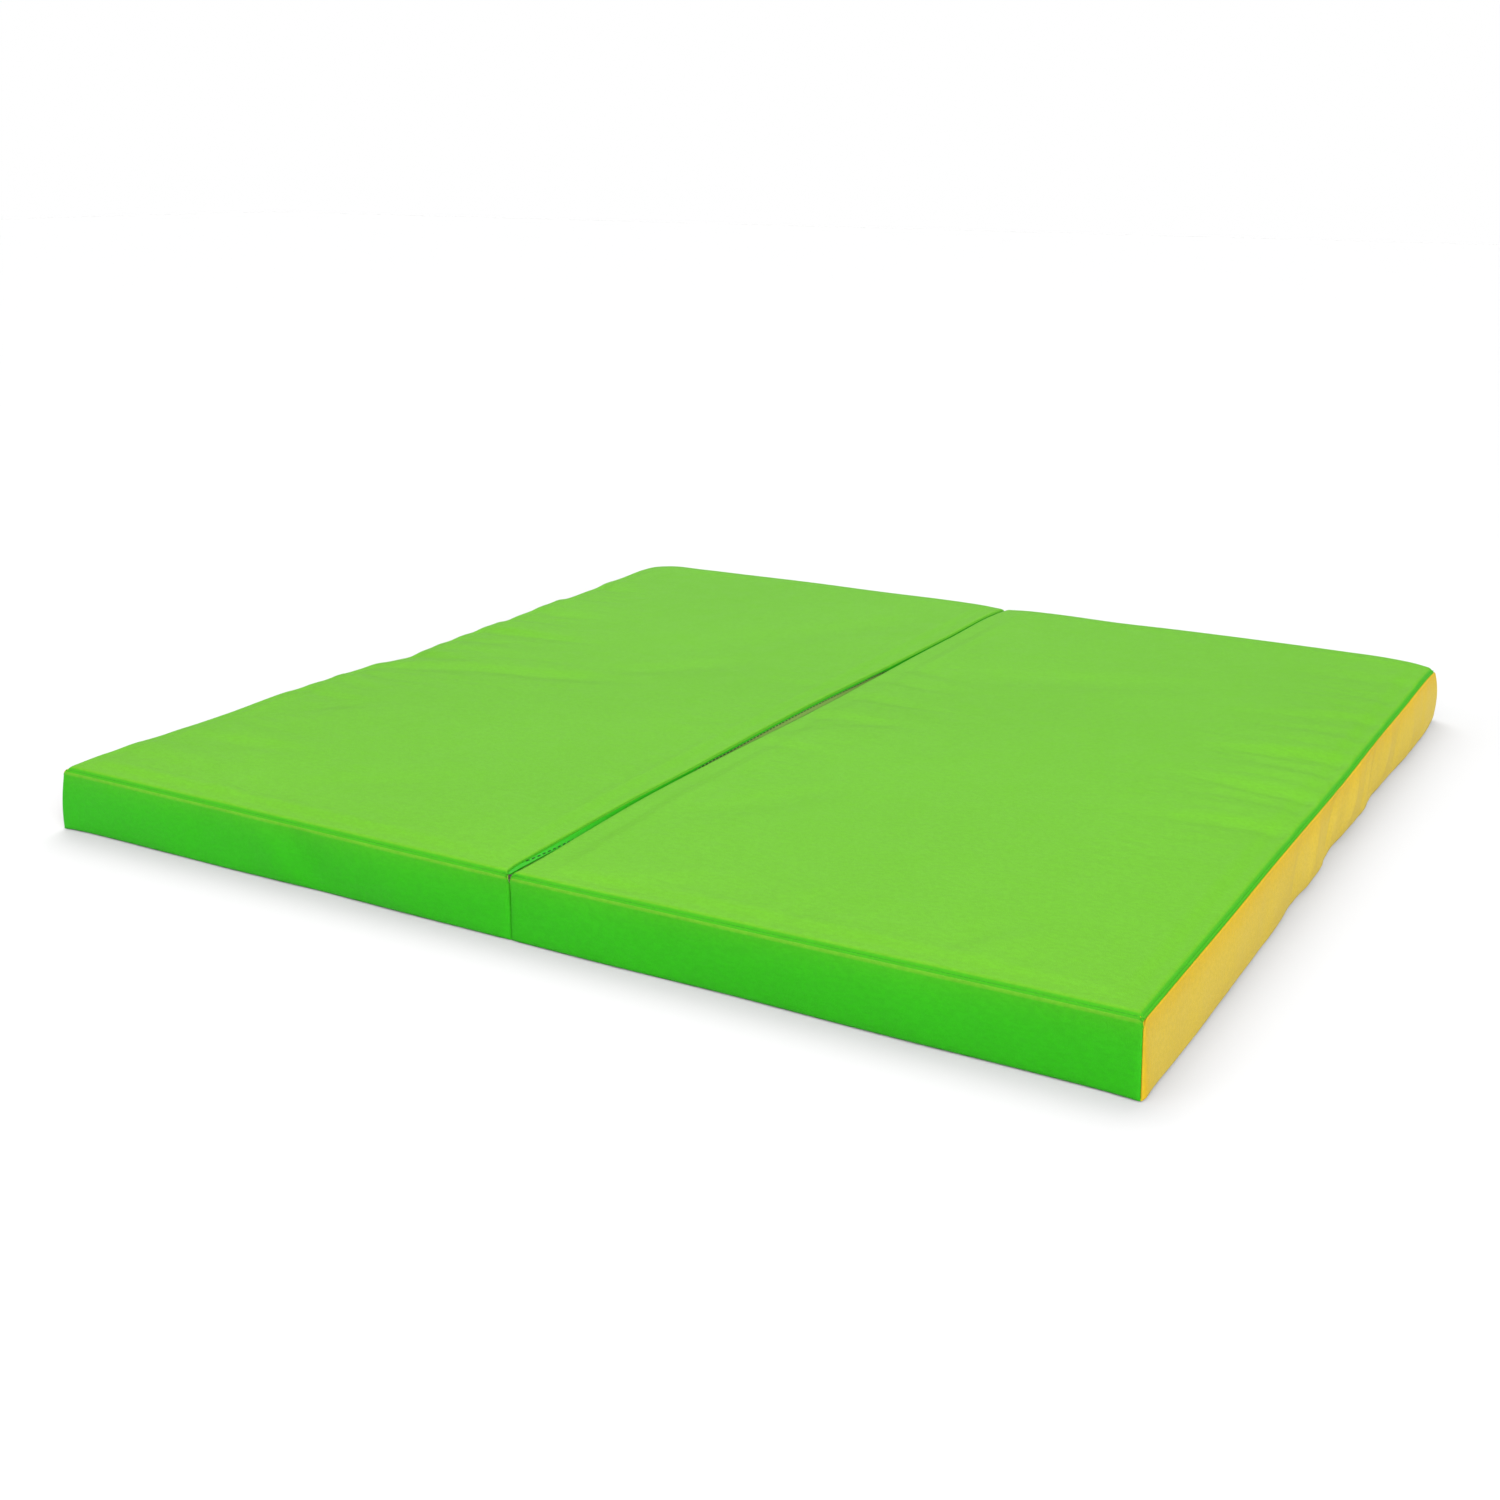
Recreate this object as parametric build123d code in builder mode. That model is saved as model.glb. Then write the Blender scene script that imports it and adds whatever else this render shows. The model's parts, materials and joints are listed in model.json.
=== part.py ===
from build123d import *
import os

# Folding foam gym mat: two zipped foam panels joined by a vinyl hinge strip under the fold.
# Frame: X across the fold, Y along it from front to back, Z up. The origin is on the floor
# at the centre of the footprint. Every piece is drawn for the left panel, at x < 0, and the
# right panel's pieces are its mirror image. All lengths are in millimetres.

# ---- Driving dimensions ----
mat_width = 1000          # across the fold, both panels
mat_length = 1000         # along the fold
mat_height = 56
fold_gap = 12             # between the two walls that face each other at the fold
end_gap = 2               # between the panels' front bands, and between their back bands
vinyl = 0.8               # cover sheet
hem = 8                   # band edge turned in under a sheet, at top and bottom
stitch_inset = 4.5        # from a seam's outer edge to the middle of its line of thread
groove_width = 1.2        # the thread sinks into a groove in the sheet
groove_depth = 0.4
thread_clearance = 0.1    # each side of the thread in its groove
hinge_reach = 30          # from the fold line to each edge of the hinge strip

tape = 0.6                # zipper tape thickness
tape_end = 480            # tape runs from -tape_end to tape_end
lower_tape_foot = 37      # height of the lower tape's hidden edge
tape_turn = 12            # upper tape turned in under the top sheet
chain_height = 49.2       # height of the zipper's centre line above the floor
chain_end = 462           # teeth run from -chain_end to chain_end
chain_width = 5.6         # both rows of teeth together
chain_depth = 2.4         # teeth, front to back
post_slot = 1.4           # between the roots of the two rows
stop_length = 3

slider_length = 13
slider_width = 8.2
slider_plate = 1.0
slider_clearance = 0.2    # plates and flanges to the teeth and the tapes
wall_clearance = 0.3      # slider to the vinyl edges and to the end stops
post_length = 3
post_width = 1.0
bridge_length = 9
bridge_width = 2.2
bridge_height = 2.8
bridge_bar = 0.8

pull_reach = 22           # pull tab, from its pivot to its tip
pull_width = 6
pull_depth = 1.2
pull_eye_width = 3
pull_eye_length = 5
pull_hole = 3             # round finger hole near the tip

# ---- Derived planes ----
outer_x = -mat_width / 2
fold_x = -fold_gap / 2
front_y = -mat_length / 2
back_y = mat_length / 2
sheet_run = (front_y + vinyl, back_y - vinyl)      # sheets lie between the end bands
hem_run = (front_y + vinyl + hem, back_y - vinyl - hem)
top_under = mat_height - vinyl                    # underside of the top sheet
tape_front = fold_x - vinyl                       # tapes lie against the back of the wall
tape_back = tape_front - tape
chain_x = tape_front - tape / 2                   # mid-plane of the teeth
chain_front = chain_x + chain_depth / 2
chain_back = chain_x - chain_depth / 2
opening_half = slider_width / 2 + wall_clearance  # half of the slot left in the wall
foam_recess_x = chain_back - slider_clearance - slider_plate - 2 * wall_clearance
slider_y = chain_end - wall_clearance - slider_length / 2
plate_front = chain_front + slider_clearance      # inner face of the slider's front plate
plate_back = chain_back - slider_clearance        # inner face of its back plate
bridge_foot = plate_front + slider_plate
bridge_room = bridge_height - bridge_bar
pivot_x = bridge_foot + bridge_room / 2           # pull tab's pivot, on a line along Z


def slab(x_range, y_range, z_range, mode=Mode.ADD):
    """Add a rectangular solid between two X, two Y and two Z planes to the open part, or cut it."""
    (x0, x1), (y0, y1), (z0, z1) = x_range, y_range, z_range
    with Locations(((x0 + x1) / 2, (y0 + y1) / 2, (z0 + z1) / 2)):
        Box(x1 - x0, y1 - y0, z1 - z0, mode=mode)


def middle_strip(middle, width):
    """The two planes on either side of a middle plane."""
    return (middle - width / 2, middle + width / 2)


def write(piece, name):
    piece.part.label = name
    export_step(piece.part, f"parts/{name}.step")


def write_pair(left, name):
    """Write a piece of the left panel, and its mirror image for the right panel."""
    write(left, f"left_{name}")
    with BuildPart() as right:
        add(left.part)
        mirror(about=Plane.YZ, mode=Mode.REPLACE)
    write(right, f"right_{name}")


os.makedirs("parts", exist_ok=True)

# ---- Hems: every band's edges are turned in under the sheets, at the bottom and at the top ----
hem_layers = ((vinyl, 2 * vinyl), (top_under - vinyl, top_under))
outer_hem = (outer_x + vinyl, outer_x + vinyl + hem)
front_hem = (front_y + vinyl, front_y + vinyl + hem)
back_hem = (back_y - vinyl - hem, back_y - vinyl)
panel_run = (outer_x + vinyl, fold_x - vinyl)

# ---- Foam core: a slab with a recess for the zipper and steps for the hems ----
with BuildPart() as foam_core:
    with BuildSketch(Plane.XZ):
        with BuildLine():
            Polyline(
                (outer_x + vinyl, vinyl),
                (-hinge_reach, vinyl),
                (-hinge_reach, 2 * vinyl),
                (fold_x - vinyl, 2 * vinyl),
                (fold_x - vinyl, lower_tape_foot),
                (foam_recess_x, lower_tape_foot),
                (foam_recess_x, top_under - vinyl - tape),
                (tape_back - tape_turn, top_under - vinyl - tape),
                (tape_back - tape_turn, top_under),
                (outer_x + vinyl, top_under),
                close=True,
            )
        make_face()
    extrude(amount=mat_length / 2 - vinyl, both=True)
    for layer in hem_layers:
        slab(outer_hem, sheet_run, layer, mode=Mode.SUBTRACT)
        for end_hem in (front_hem, back_hem):
            slab(panel_run, end_hem, layer, mode=Mode.SUBTRACT)
write_pair(foam_core, "foam_core")

# ---- Lines of thread, a stitch inset in from each edge of a sheet ----
outer_line = outer_x + stitch_inset
fold_line = fold_x - stitch_inset
front_line = front_y + stitch_inset
back_line = back_y - stitch_inset
hinge_line = -hinge_reach + stitch_inset


def stitch_lines(width, x_end, layer, closed_at_fold, mode=Mode.ADD):
    """Strips along the outer, front and back lines of thread, and along the fold line if closed."""
    reach = width / 2
    full_run = (front_line - reach, back_line + reach)
    slab(middle_strip(outer_line, width), full_run, layer, mode)
    for line_y in (front_line, back_line):
        slab((outer_line - reach, x_end), middle_strip(line_y, width), layer, mode)
    if closed_at_fold:
        slab(middle_strip(fold_line, width), full_run, layer, mode)


thread_width = groove_width - 2 * thread_clearance
top_groove = (mat_height - groove_depth, mat_height)
bottom_groove = (0, groove_depth)

with BuildPart() as top_sheet:
    slab(panel_run, sheet_run, (top_under, mat_height))
    stitch_lines(groove_width, fold_line + groove_width / 2, top_groove, True, Mode.SUBTRACT)
write_pair(top_sheet, "top_sheet")

with BuildPart() as top_seam_thread:
    stitch_lines(thread_width, fold_line + thread_width / 2, top_groove, True)
write_pair(top_seam_thread, "top_seam_thread")

with BuildPart() as bottom_sheet:
    slab((outer_x + vinyl, -hinge_reach), sheet_run, (0, vinyl))
    stitch_lines(groove_width, -hinge_reach, bottom_groove, False, Mode.SUBTRACT)
write_pair(bottom_sheet, "bottom_sheet")

with BuildPart() as bottom_seam_thread:
    stitch_lines(thread_width, -hinge_reach, bottom_groove, False)
write_pair(bottom_seam_thread, "bottom_seam_thread")

# ---- Hinge strip across the underside; the fold axis runs along Y just below its middle ----
with BuildPart() as hinge_strip:
    slab((-hinge_reach, hinge_reach), sheet_run, (0, vinyl))
    for line_x in (hinge_line, -hinge_line):
        slab(middle_strip(line_x, groove_width), sheet_run, bottom_groove, Mode.SUBTRACT)
write(hinge_strip, "hinge_strip")

with BuildPart() as hinge_thread:
    slab(middle_strip(hinge_line, thread_width), sheet_run, bottom_groove)
write_pair(hinge_thread, "hinge_thread")

# ---- Bands: an upright wall with its hems turned in ----
for end_name, wall_y, end_hem in (
    ("front_band", (front_y, front_y + vinyl), front_hem),
    ("back_band", (back_y - vinyl, back_y), back_hem),
):
    with BuildPart() as end_band:
        slab((outer_x, -end_gap / 2), wall_y, (0, mat_height))
        for layer in hem_layers:
            slab(panel_run, end_hem, layer)
    write_pair(end_band, end_name)

with BuildPart() as side_band:
    slab((outer_x, outer_x + vinyl), sheet_run, (0, mat_height))
    for layer in hem_layers:
        slab(outer_hem, hem_run, layer)
write_pair(side_band, "side_band")

with BuildPart() as fold_band:
    slab((fold_x - vinyl, fold_x), sheet_run, (vinyl, chain_height - opening_half))
    slab((-hinge_reach, fold_x - vinyl), hem_run, hem_layers[0])
write_pair(fold_band, "fold_band")

with BuildPart() as zip_facing:
    slab((fold_x - vinyl, fold_x), sheet_run, (chain_height + opening_half, mat_height))
    slab((fold_x - vinyl - hem, fold_x - vinyl), hem_run, hem_layers[1])
write_pair(zip_facing, "zip_facing")

# ---- Zipper: tapes, rows of teeth and end stops ----
tape_run = (-tape_end, tape_end)
with BuildPart() as upper_zip_tape:
    tape_top = top_under - vinyl
    slab((tape_back, tape_front), tape_run, (chain_height + chain_width / 2, tape_top))
    slab((tape_back - tape_turn, tape_back), tape_run, (tape_top - tape, tape_top))
write_pair(upper_zip_tape, "upper_zip_tape")

with BuildPart() as lower_zip_tape:
    slab((tape_back, tape_front), tape_run, (lower_tape_foot, chain_height - chain_width / 2))
write_pair(lower_zip_tape, "lower_zip_tape")

for row_name, up in (("upper_zip_teeth", 1), ("lower_zip_teeth", -1)):
    row_z = sorted((chain_height + up * post_slot / 2, chain_height + up * chain_width / 2))
    with BuildPart() as teeth_row:
        slab((chain_back, chain_front), (-chain_end, chain_end), row_z)
    write_pair(teeth_row, row_name)

with BuildPart() as zip_stops:
    for stop_y in ((-chain_end - stop_length, -chain_end), (chain_end, chain_end + stop_length)):
        slab(
            (chain_back, chain_front),
            stop_y,
            (chain_height - chain_width / 2, chain_height + chain_width / 2),
        )
write_pair(zip_stops, "zip_stops")

# ---- Zipper slider: two plates round the teeth, joined by a post, with flanges and a bridge ----
with BuildPart() as zip_slider:
    for plate_x in (plate_back - slider_plate, plate_front):
        with BuildSketch(Plane.YZ.offset(plate_x)):
            with Locations((slider_y, chain_height)):
                RectangleRounded(slider_length, slider_width, 1.5)
        extrude(amount=slider_plate)
    slab(
        (plate_back, plate_front),
        (slider_y + slider_length / 2 - post_length, slider_y + slider_length / 2),
        (chain_height - post_width / 2, chain_height + post_width / 2),
    )
    flange_inner = chain_width / 2 + slider_clearance
    flange_run = (slider_y - slider_length / 2 + 1.5, slider_y + slider_length / 2 - 1.5)
    for flange_x in (
        (plate_back, tape_back - slider_clearance),
        (tape_front + slider_clearance, plate_front),
    ):
        for side in (-1, 1):
            flange_z = sorted(
                (chain_height + side * flange_inner, chain_height + side * slider_width / 2)
            )
            slab(flange_x, flange_run, flange_z)
    with BuildSketch(Plane.XY.offset(chain_height - bridge_width / 2)):
        with Locations((bridge_foot + bridge_height / 2, slider_y)):
            Rectangle(bridge_height, bridge_length)
        with Locations((bridge_foot + bridge_room / 2, slider_y)):
            Rectangle(bridge_room, bridge_length - 2 * bridge_bar, mode=Mode.SUBTRACT)
    extrude(amount=bridge_width)
    outer_corners = zip_slider.edges().filter_by(Axis.Z).group_by(Axis.X)[-1]
    fillet(outer_corners, bridge_bar)
write_pair(zip_slider, "zip_slider")

# ---- Pull tab: its crossbar lies under the slider's bridge and its eye goes round the bridge ----
with BuildPart() as zip_pull:
    with BuildSketch(Plane.YZ.offset(pivot_x - pull_depth / 2)):
        crossbar_y = slider_y + pull_depth / 2
        with Locations((crossbar_y - pull_reach / 2, chain_height)):
            RectangleRounded(pull_reach, pull_width, 2)
        with Locations((crossbar_y - pull_depth - pull_eye_length / 2, chain_height)):
            Rectangle(pull_eye_length, pull_eye_width, mode=Mode.SUBTRACT)
        with Locations((crossbar_y - pull_reach + pull_width / 2, chain_height)):
            Circle(pull_hole / 2, mode=Mode.SUBTRACT)
    extrude(amount=pull_depth)
write_pair(zip_pull, "zip_pull")
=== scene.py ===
# %% [markdown]
# # A folding foam gym mat
# The mat is two square-edged foam panels in sewn vinyl covers, joined along the middle by a
# strip of vinyl under the fold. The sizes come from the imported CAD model, and this file gives
# each piece the softness, seams, stitches and finish that a hard-edged CAD solid cannot have.

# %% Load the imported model
import json
import math

import bmesh
import bpy
import numpy as np
from mathutils import Matrix, Vector

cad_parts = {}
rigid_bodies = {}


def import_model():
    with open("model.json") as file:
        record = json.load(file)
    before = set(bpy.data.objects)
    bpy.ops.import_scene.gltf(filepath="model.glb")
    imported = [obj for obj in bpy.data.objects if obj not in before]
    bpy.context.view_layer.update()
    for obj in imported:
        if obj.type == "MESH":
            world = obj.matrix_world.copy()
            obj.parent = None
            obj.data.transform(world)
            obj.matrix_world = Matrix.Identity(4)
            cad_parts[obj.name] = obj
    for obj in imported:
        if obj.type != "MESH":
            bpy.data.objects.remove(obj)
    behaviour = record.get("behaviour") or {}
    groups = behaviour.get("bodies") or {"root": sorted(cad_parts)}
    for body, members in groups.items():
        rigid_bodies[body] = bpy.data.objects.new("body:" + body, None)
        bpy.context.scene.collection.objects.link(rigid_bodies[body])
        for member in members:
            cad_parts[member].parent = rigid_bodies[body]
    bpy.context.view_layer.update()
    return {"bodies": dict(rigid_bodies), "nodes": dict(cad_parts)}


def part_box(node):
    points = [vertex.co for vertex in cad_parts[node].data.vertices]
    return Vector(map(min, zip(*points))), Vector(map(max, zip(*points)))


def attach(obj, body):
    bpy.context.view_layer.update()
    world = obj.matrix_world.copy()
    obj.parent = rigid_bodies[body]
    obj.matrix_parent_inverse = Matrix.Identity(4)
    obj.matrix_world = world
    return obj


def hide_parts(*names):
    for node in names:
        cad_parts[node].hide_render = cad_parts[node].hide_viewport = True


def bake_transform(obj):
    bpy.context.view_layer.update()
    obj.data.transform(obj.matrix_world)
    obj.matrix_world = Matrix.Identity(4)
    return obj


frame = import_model()

# %% [markdown]
# ## Sizes
# All shaping is done in millimetres, in one panel's own terms: *across* is the distance from the
# fold line, so both panels share one description, and each is placed on its side at the end.

# %% Read the planes that the pieces meet
MM = 0.001


def planes(node):
    """A CAD node's lowest and highest corners, in millimetres."""
    low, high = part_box(node)
    return np.array(low) / MM, np.array(high) / MM


HALF = -planes("left_front_band")[0][0]
TOP = planes("left_top_sheet")[1][2]
VINYL = TOP - planes("left_top_sheet")[0][2]
WALL = -planes("left_fold_band")[1][0]
FACING_FOOT = planes("left_zip_facing")[0][2]
STRIP_REACH = planes("hinge_strip")[1][0]
SIDES = {"left": -1, "right": 1}
BODIES = {"left": "left_panel", "right": "right_panel"}
print("half width", HALF, "height", TOP, "vinyl", round(VINYL, 2), "fold wall at", WALL)

# %% [markdown]
# ## Camera
# The camera stands low at the front right corner, so the two long lines of the mat run away from
# it. It has no depth of field and no shift, so other views only have to move it.

# %% Camera
camera_data = bpy.data.cameras.new("camera")
camera = bpy.data.objects.new("camera", camera_data)
bpy.context.scene.collection.objects.link(camera)
bpy.context.scene.camera = camera
heading, pitch, roll = (math.radians(d) for d in (-29.49, 17.74, 0.45))
level = math.cos(pitch)
forward = Vector((math.sin(heading) * level, math.cos(heading) * level, -math.sin(pitch)))
camera.rotation_mode = "QUATERNION"
camera.rotation_quaternion = forward.to_track_quat("-Z", "Y") @ Matrix.Rotation(roll, 3, "Z").to_quaternion()
camera.location = (0.808, -1.562, 0.581)
camera_data.sensor_width = 36
camera_data.lens = 44.34
camera_data.clip_end = 100
print("camera at", tuple(camera.location), "lens", camera_data.lens)

# %% [markdown]
# ## Light
# A photographer's white sweep gives soft light from everywhere. A sun lamp with a very wide disc
# acts as one huge softbox that is equally bright all over the floor, and three of them light the
# top, the front with the right side, and a little of the left. A small square softbox near the
# camera brightens the near corner only. The world is plain white to the camera, and a weaker
# white to everything else.

# %% Light
world = bpy.data.worlds.new("white_sweep")
bpy.context.scene.world = world
world.use_nodes = True
world_nodes = world.node_tree.nodes
world_links = world.node_tree.links
world_nodes.clear()
ray_kind = world_nodes.new("ShaderNodeLightPath")
either = world_nodes.new("ShaderNodeMixShader")
world_output = world_nodes.new("ShaderNodeOutputWorld")
SOFT_FILL, SEEN_WHITE = 0.40, 1.0
for socket, strength in ((1, SOFT_FILL), (2, SEEN_WHITE)):
    backdrop = world_nodes.new("ShaderNodeBackground")
    backdrop.inputs["Color"].default_value = (1, 1, 1, 1)
    backdrop.inputs["Strength"].default_value = strength
    world_links.new(backdrop.outputs[0], either.inputs[socket])
world_links.new(ray_kind.outputs["Is Camera Ray"], either.inputs["Fac"])
world_links.new(either.outputs[0], world_output.inputs["Surface"])


def softbox(name, kind, energy, towards_light):
    """A lamp that shines from one direction on the middle of the scene."""
    lamp = bpy.data.lights.new(name, kind)
    lamp.energy = energy
    holder = bpy.data.objects.new(name, lamp)
    bpy.context.scene.collection.objects.link(holder)
    holder.rotation_mode = "QUATERNION"
    holder.rotation_quaternion = Vector(towards_light).to_track_quat("Z", "Y")
    return holder


WIDE_DISC = math.radians(50)
for name, energy, towards_light in (
    ("overhead_softbox", 1.35, (-0.40, 0.66, 1.0)),
    ("front_softbox", 2.25, (0.68, -0.60, 0.52)),
    ("left_softbox", 0.60, (-0.80, -0.62, 0.22)),
):
    softbox(name, "SUN", energy, towards_light).data.angle = WIDE_DISC
near_box = softbox("near_softbox", "AREA", 5.5, (0.3, -1.3, 1.6))
near_box.data.size = 1.2
near_box.location = (0.5, -1.6, 1.6)
near_box.visible_camera = False
bpy.context.scene.view_settings.view_transform = "Standard"
print("lit by", len(bpy.data.lights), "softboxes and", world.name)

# %% [markdown]
# ## Small helpers
# Node trees read best as short lines, so `wire` makes a node, sets its inputs and joins it to
# whatever socket it is given. The same helper serves shader trees and Geometry Nodes.

# %% Helpers for node trees


def feed(tree, socket, value):
    """Give a socket its value, which is a constant or another socket to join it to."""
    if isinstance(value, bpy.types.NodeSocket):
        tree.links.new(value, socket)
    else:
        socket.default_value = value


def wire(tree, kind, settings=None, **inputs):
    """Add a node and feed its inputs, which go by name, or by number as i0, i1 and so on."""
    node = tree.nodes.new(kind)
    for name, value in (settings or {}).items():
        setattr(node, name, value)
    for name, value in inputs.items():
        key = int(name[1:]) if name[0] == "i" and name[1:].isdigit() else name.replace("_", " ")
        feed(tree, node.inputs[key], value)
    return node


def math_node(tree, operation, *values):
    """A Math node's result."""
    inputs = {f"i{k}": value for k, value in enumerate(values)}
    return wire(tree, "ShaderNodeMath", {"operation": operation}, **inputs).outputs[0]


def mixed(tree, share, first, second):
    """One colour turning into another as share goes from 0 to 1."""
    return wire(tree, "ShaderNodeMix", {"data_type": "RGBA"}, i0=share, i6=first, i7=second).outputs[2]


def remap(tree, value, low, high, to_low=0.0, to_high=1.0):
    """A smooth step of a value from one range to another."""
    smooth = {"interpolation_type": "SMOOTHSTEP"}
    ranges = {"From_Min": low, "From_Max": high, "To_Min": to_low, "To_Max": to_high}
    return wire(tree, "ShaderNodeMapRange", smooth, Value=value, **ranges).outputs["Result"]


def ridged(tree, shader, strength, distance, height):
    """Bump for a shader from a height, with the deepest step in metres."""
    bump = wire(tree, "ShaderNodeBump", Strength=strength, Distance=distance, Height=height)
    tree.links.new(bump.outputs[0], shader.inputs["Normal"])


def effect_group(name, inputs, outputs):
    """A new shader node group with named float, vector and colour sockets."""
    group = bpy.data.node_groups.new(name, "ShaderNodeTree")
    for socket, kind, default in inputs:
        made = group.interface.new_socket(name=socket, in_out="INPUT", socket_type=kind)
        if default is not None:
            made.default_value = default
    for socket, kind in outputs:
        group.interface.new_socket(name=socket, in_out="OUTPUT", socket_type=kind)
    return group, group.nodes.new("NodeGroupInput").outputs, group.nodes.new("NodeGroupOutput").inputs


def use_effect(tree, group, **inputs):
    """Place an effect in a material, and give it that material's values."""
    node = tree.nodes.new("ShaderNodeGroup")
    node.node_tree = group
    for name, value in inputs.items():
        feed(tree, node.inputs[name.replace("_", " ")], value)
    return node.outputs


print("helpers ready")

# %% [markdown]
# ## Finishes
# The cover is vinyl with a fine pebbled grain, the same on the lime, green and yellow sheets.
# The grain is one node group: small rounded cells with creases between them, and a still finer
# tooth over them. It can be stretched sideways, as the grain on the upright bands looks.

# %% Effect: vinyl grain
FLOAT, VECTOR, COLOUR = "NodeSocketFloat", "NodeSocketVector", "NodeSocketColor"
grain_group, given, made = effect_group(
    "vinyl_grain",
    [("Place", VECTOR, None), ("Cells per metre", FLOAT, 900.0), ("Sideways stretch", FLOAT, 1.0)],
    [("Height", FLOAT), ("Creases", FLOAT)],
)
squeeze = wire(grain_group, "ShaderNodeCombineXYZ", X=1.0, Y=1.0, Z=given["Sideways stretch"]).outputs[0]
multiplied = {"operation": "MULTIPLY"}
stretched = wire(grain_group, "ShaderNodeVectorMath", multiplied, i0=given["Place"], i1=squeeze).outputs[0]
to_edge = {"feature": "DISTANCE_TO_EDGE"}
cell_scale = given["Cells per metre"]
cells = wire(grain_group, "ShaderNodeTexVoronoi", to_edge, Vector=stretched, Scale=cell_scale, Randomness=0.9)
pebbles = remap(grain_group, cells.outputs["Distance"], 0.02, 0.35)
tooth_scale = math_node(grain_group, "MULTIPLY", cell_scale, 2.6)
tooth = wire(grain_group, "ShaderNodeTexNoise", Vector=stretched, Scale=tooth_scale, Detail=2.0)
tooth_part = math_node(grain_group, "MULTIPLY", tooth.outputs[0], 0.35)
grain_height = math_node(grain_group, "ADD", pebbles, tooth_part)
grain_group.links.new(grain_height, made["Height"])
grain_group.links.new(math_node(grain_group, "SUBTRACT", 1.0, pebbles), made["Creases"])
print("made", grain_group.name)

# %% [markdown]
# Handled vinyl is never one even colour. This second group gives a broad drift of tone, a
# finer mottle from hands and feet, and long faint rub marks. Each finish decides how much of it
# to use, so one group ages the covers, the tapes and the metal alike.

# %% Effect: handling wear
wear_group, given, made = effect_group(
    "handling_wear",
    [("Place", VECTOR, None), ("Patches per metre", FLOAT, 4.0)],
    [("Drift", FLOAT), ("Mottle", FLOAT), ("Rubs", FLOAT), ("Flecks", FLOAT)],
)
NOISE, MAPPING = "ShaderNodeTexNoise", "ShaderNodeMapping"
spot, patches = given["Place"], given["Patches per metre"]
drift = wire(wear_group, NOISE, Vector=spot, Scale=patches, Detail=3.0)
wear_group.links.new(drift.outputs[0], made["Drift"])
mottle_scale = math_node(wear_group, "MULTIPLY", patches, 11.0)
mottle = wire(wear_group, NOISE, Vector=spot, Scale=mottle_scale, Detail=5.0, Roughness=0.62)
wear_group.links.new(mottle.outputs[0], made["Mottle"])
lengthened = wire(wear_group, MAPPING, Vector=spot, Rotation=(0.0, 0.0, 0.7), Scale=(3.0, 26.0, 14.0))
rub = wire(wear_group, NOISE, Vector=lengthened.outputs[0], Scale=1.6, Detail=4.0, Roughness=0.7)
wear_group.links.new(remap(wear_group, rub.outputs[0], 0.60, 0.78), made["Rubs"])
fleck_scale = math_node(wear_group, "MULTIPLY", patches, 105.0)
squashed = wire(wear_group, MAPPING, Vector=spot, Scale=(0.55, 1.0, 1.0))
fleck = wire(wear_group, NOISE, Vector=squashed.outputs[0], Scale=fleck_scale, Detail=2.0)
wear_group.links.new(remap(wear_group, fleck.outputs[0], 0.30, 0.70), made["Flecks"])
print("made", wear_group.name)

# %% [markdown]
# Woven tape and sewing thread share a third group: two sets of fine ridges that cross and pass
# over and under one another.

# %% Effect: weave
weave_group, given, made = effect_group(
    "weave",
    [("Place", VECTOR, None), ("Yarns per metre", FLOAT, 1600.0)],
    [("Height", FLOAT), ("Gaps", FLOAT)],
)
parts = wire(weave_group, "ShaderNodeSeparateXYZ", Vector=given["Place"]).outputs
swing = math_node(weave_group, "MULTIPLY", given["Yarns per metre"], math.pi)
along_wave, up_wave, across_wave = (
    math_node(weave_group, "SINE", math_node(weave_group, "MULTIPLY", parts[axis], swing)) for axis in "YZX"
)
crossing = math_node(weave_group, "MULTIPLY", along_wave, math_node(weave_group, "ADD", up_wave, across_wave))
weave_height = remap(weave_group, crossing, -1.2, 1.2)
weave_group.links.new(weave_height, made["Height"])
weave_group.links.new(math_node(weave_group, "SUBTRACT", 1.0, weave_height), made["Gaps"])
print("made", weave_group.name)

# %% [markdown]
# A material starts from the same few nodes each time: its place on the object, a Principled
# shader and an output. Constant gloss values are set on the shader itself.

# %% Start of every material


def start_material(name, **constants):
    """A material with its shader, and the sockets that its pattern is built between."""
    material = bpy.data.materials.new(name)
    material.use_nodes = True
    tree = material.node_tree
    tree.nodes.clear()
    shader = tree.nodes.new("ShaderNodeBsdfPrincipled")
    output = tree.nodes.new("ShaderNodeOutputMaterial")
    tree.links.new(shader.outputs[0], output.inputs["Surface"])
    for socket, value in constants.items():
        shader.inputs[socket.replace("_", " ")].default_value = value
    place = tree.nodes.new("ShaderNodeTexCoord").outputs["Object"]
    return material, tree, shader, place


def shade(colour, factor):
    """The same colour, lighter or darker."""
    return tuple(channel * factor for channel in colour[:3]) + (1.0,)


print("material starter ready")

# %% [markdown]
# The three vinyls differ only in colour and in how far the grain is stretched. Each also has an
# edge colour, which a mask painted on the mesh switches on: the deep green of a top sheet where
# it turns down to its seam, partly the hem's own colour and partly painted shade in the groove,
# and at the head of a band a thin painted highlight with fainter painted lightening below it on
# the green bands, and a deeper orange-yellow on the yellow ones. Light that bounces off the vinyl
# is greyed, so that the white floor beside the mat stays white.

# %% Vinyl
# The mask carries the painted edge colours: deep green with painted groove shade on top sheets, and the painted
# highlight or orange-yellow on band heads.
EDGE_COLOUR_SHADE_AND_HIGHLIGHT_MASK = "turned_edge"
BOUNCE_GREY = (0.16, 0.16, 0.16, 1.0)
GREYED_SHARE = 0.85


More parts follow.
